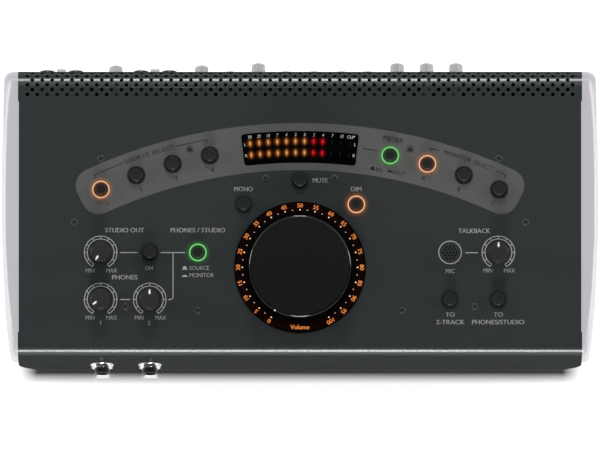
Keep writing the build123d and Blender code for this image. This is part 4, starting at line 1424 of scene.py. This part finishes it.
def cutRecess(piece, side):
    # round recess for the cheek's screw, cut out of the closed mesh
    y, z, radius, floor = cheek["recess"]
    rim = circle((y, z), radius)
    steps, far = len(rim), cheek["inner"] + 14
    rings = [np.column_stack((np.full(steps, reach), rim)) for reach in (floor, far)]
    faces = gridFaces(2, steps, True).tolist() + [list(range(steps))[::-1], list(range(steps, 2 * steps))]
    cutter = makePiece("recessCutter", np.concatenate(rings) * (side * mm, mm, mm), faces, "cheek", "case")
    cut = piece.modifiers.new("recess", "BOOLEAN")
    cut.operation = "DIFFERENCE"
    cut.solver = "MANIFOLD"
    cut.object = cutter
    bpy.context.view_layer.update()
    shape = bpy.data.meshes.new_from_object(piece.evaluated_get(bpy.context.evaluated_depsgraph_get()))
    piece.modifiers.clear()
    piece.data = shape
    bpy.data.objects.remove(cutter)


def buildLips():
    # thin lips of the cheeks over the metal's edges, and thin black strips beside them as painted shade in the gaps
    across, wide, low, high = cheek["lip"]
    lips = Print(-0.1 * mm, 0.42 * mm)
    # black strips that stand for the shade in the gap beside each lip
    gaps = Print(printLift, 0.03 * mm)
    for side in (-1, 1):
        lips.ribbon(np.array(((side * across, low), (side * across, high))) * mm, wide * mm)
        inside = side * (across - wide / 2 - 0.12)
        gaps.ribbon(np.array(((inside, low), (inside, high))) * mm, 0.24 * mm)
    lips.done("cheekLips", "cheek", slot="cheek_plastic")
    gaps.done("cheekGapShade", "black", slot="rubber")


buildCheek(-1, "left_cheek", "leftCheek")
buildCheek(1, "right_cheek", "rightCheek")
buildLips()
print("cheeks made")


# nuts and turning controls at the rear
rearNuts = {"outer": 6.18, "inner": 4.62, "near": 83.5, "far": 86.1, "notches": 8, "notchHalf": 9.0, "notchDeep": 0.9}
# heights of the rows of nuts, and their places across
nutPlaces = ((53.7, (-154.1, -136.8, -97.1, -79.8)), (50.2, (-8.7, 8.5, 25.3, 41.4)), (24.0, (-8.7, 8.5, 25.3, 41.4)))
trimLook = {"stem": 3.0, "foot": 85.2, "ribs": 14, "ribDeep": 0.45, "cone": 1.5}


def standRear(points, x, z):
    # turned points (across, up, out) stood on the rear wall: out becomes the way back
    return np.column_stack((x + points[:, 0], points[:, 2], z + points[:, 1]))


def buildRearNuts():
    # ring with a chamfered edge whose outer radius drops in each notch
    outer, inner, near, far = (rearNuts[key] for key in ("outer", "inner", "near", "far"))
    profile = ((inner, near), (outer, near), (outer, far - 0.35), (outer - 0.35, far), (inner, far), (inner, near))
    rim = np.array([0, 1, 1, 1, 0, 0])[:, None]
    pitch = 360 / rearNuts["notches"]

    def notched(radius, angle):
        off = np.abs((np.degrees(angle) + pitch / 2) % pitch - pitch / 2)
        return radius - rearNuts["notchDeep"] * rim * (off < rearNuts["notchHalf"])

    shape, faces = turned(profile, (0, 0), 96, notched)
    points, allFaces = [], []
    for z, places in nutPlaces:
        for x in places:
            allFaces.extend((faces + len(points) * len(shape)).tolist())
            points.append(standRear(shape, x, z) * mm)
    nuts = makePiece("rearNuts", np.concatenate(points), allFaces, "jack", "case", 30)
    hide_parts("rear_jack_nuts")


def buildTrimKnob(number):
    # profile: foot, ribbed side and a blunt cone at the tip
    node = "trim_knob_" + number
    points = nodePoints(node) / mm
    low, high = points.min(0), points.max(0)
    x, z = (low[0] + high[0]) / 2, (low[2] + high[2]) / 2
    wide, near, far = (high[0] - low[0]) / 2, low[1], high[1]
    stem, foot = trimLook["stem"], max(near, trimLook["foot"])
    corners = ((stem, foot), (wide, foot), (wide, far - trimLook["cone"]), (wide * 0.4, far - 0.3), (0, far))
    outside = softProfile(corners, (0.2, 0.45, 0.8), 6)
    profile = np.concatenate((((0, near), (stem, near)), outside))
    ribbed = np.clip((profile[:, 1] - foot - 0.3) / 0.3, 0, 1)
    ribbed *= np.clip((profile[:, 0] - 0.7 * wide) / (0.25 * wide), 0, 1)

    def ribs(radius, angle):
        return radius - trimLook["ribDeep"] * ribbed[:, None] * (0.5 - 0.5 * np.cos(trimLook["ribs"] * angle)) ** 2

    shape, faces = turned(profile, (0, 0), 6 * trimLook["ribs"], ribs)
    knob = makePiece("trimKnob" + number, standRear(shape, x, z) * mm, faces, "trim", node, 40)
    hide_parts(node)


buildRearNuts()
for number in "123456":
    buildTrimKnob(number)
print("rear controls made")


# camera, lights and floor
view = {"tilt": 12.4, "distance": 10.15, "lens": 1000.0, "panelUp": 25.9}


def buildCamera():
    tilt = radians(view["tilt"])
    data = bpy.data.cameras.new("camera")
    data.lens = view["lens"]
    data.sensor_width = 36.0
    data.clip_end = 100.0
    camera = bpy.data.objects.new("camera", data)
    target = Vector(toWorld((0.0, view["panelUp"] * mm, 0.0)))
    camera.location = target + Vector((0, -sin(tilt), cos(tilt))) * view["distance"]
    camera.rotation_euler = (tilt, 0, 0)
    bpy.context.scene.collection.objects.link(camera)
    bpy.context.scene.camera = camera


# each softbox: name, place, width and height in metres, watts, colour
warm, white = (1.0, 0.89, 0.88), (1.0, 1.0, 1.0)
softboxes = (
    ("frontBox", (0.0, -1.69, 0.301), 0.56, 0.27, 22.0, warm),
    ("leftBox", (-1.3, 0.18, 0.44), 0.36, 0.36, 6.6, white),
    ("rightBox", (1.3, 0.18, 0.44), 0.36, 0.36, 6.6, white),
    ("rearBox", (0.0, 2.28, 2.25), 0.6, 0.26, 42.0, warm),
)
lampTarget = (0, 0, 0.04)
roomLook = {"ambient": 0.36, "lowWhite": 0.42, "lowFrom": 0.25, "bandTo": 0.62, "white": 0.95, "dim": 0.07}


def buildLights():
    for name, place, width, height, watts, colour in softboxes:
        data = bpy.data.lights.new(name, "AREA")
        data.shape = "RECTANGLE"
        data.size, data.size_y = width, height
        data.energy = watts
        data.color = colour
        lamp = bpy.data.objects.new(name, data)
        lamp.location = place
        lamp.rotation_euler = (Vector(place) - Vector(lampTarget)).to_track_quat("Z", "Y").to_euler()
        bpy.context.scene.collection.objects.link(lamp)


def buildWorld():
    # even ambient light; the camera sees white, and shiny things see white low at the sides and
    # in a band just behind the zenith but a dim room elsewhere
    surroundings = bpy.data.worlds.new("studio")
    bpy.context.scene.world = surroundings
    sheet = Sheet(surroundings)
    direction = sheet.node("TexCoord", {}, {}, "Generated")
    height, back = direction.along((0, 0, 1)), direction.along((0, 1, 0))
    low = (1 - (height - roomLook["lowFrom"]) * 3.0).clamp() * (1 - 2.0 * (back * back)).clamp()
    behind = (back * 10.0).clamp() * ((roomLook["bandTo"] - back) * 5.0).clamp()
    camera = sheet.node("LightPath", {}, {}, "Is Camera Ray")
    shiny = sheet.node("LightPath", {}, {}, "Is Glossy Ray") + sheet.node("LightPath", {}, {}, "Is Transmission Ray")
    room = (roomLook["lowWhite"] * low).largest(behind) * roomLook["white"] + roomLook["dim"]
    seen = camera + shiny.clamp() * room
    strength = seen + (1 - (camera + shiny).clamp()) * roomLook["ambient"]
    light = sheet.node("Background", {}, {"Color": (1, 1, 1, 1), "Strength": strength}, "Background")
    sheet.node("OutputWorld", {}, {"Surface": light})


floorLook = {
    "half": 4.0,
    "grey": 0.82,
    "glow": 0.66,
    "mirrorFrom": 0.0957,
    "mirrorReach": 0.0072,
    "mirrorBack": -0.074,
    "mirrorSide": 0.1718,
    "backFade": 0.004,
    "sideFade": 0.011,
    "mirrorRough": 0.08,
    "mirrorShare": 0.995,
}


def buildFloor():
    # pale table that takes the shadow, lifted to white for the camera and in shiny things by a
    # steady glow; close to the front edge it is polished, less and less over the mirror's reach
    mesh = bpy.data.meshes.new("floor")
    half = floorLook["half"]
    mesh.from_pydata([(-half, -half, 0), (half, -half, 0), (half, half, 0), (-half, half, 0)], [], [(0, 1, 2, 3)])
    floor = bpy.data.objects.new("floor", mesh)
    bpy.context.scene.collection.objects.link(floor)
    sheet = newSheet("paleFloor")
    seen = sheet.node("LightPath", {}, {}, "Is Camera Ray")
    shiny = sheet.node("LightPath", {}, {}, "Is Glossy Ray")
    position = sheet.place()
    along, across = position.along((0, 1, 0)), position.along((1, 0, 0))
    near = ((along + floorLook["mirrorFrom"]) / floorLook["mirrorReach"]).clamp()
    near = near * ((floorLook["mirrorBack"] - along) / floorLook["backFade"]).clamp()
    beside = ((floorLook["mirrorSide"] - abs(across)) / floorLook["sideFade"]).clamp()
    paint = sheet.node("BsdfDiffuse", {}, {"Color": (*shaded(white, floorLook["grey"]), 1)}, "BSDF")
    strength = (seen + shiny) * floorLook["glow"]
    glow = sheet.node("Emission", {}, {"Color": (1, 1, 1, 1), "Strength": strength}, "Emission")
    pale = sheet.node("AddShader", {}, {0: paint, 1: glow}, "Shader")
    mirror = sheet.node("BsdfGlossy", {}, {"Color": (1, 1, 1, 1), "Roughness": floorLook["mirrorRough"]}, "BSDF")
    share = seen * near * beside * floorLook["mirrorShare"]
    surface = sheet.node("MixShader", {}, {0: share, 1: pale, 2: mirror}, "Shader")
    sheet.node("OutputMaterial", {}, {"Surface": surface})
    mesh.materials.append(sheet.owner)


buildCamera()
buildLights()
buildWorld()
buildFloor()
bpy.context.scene.view_settings.view_transform = "Standard"
print("camera, lights and floor made")
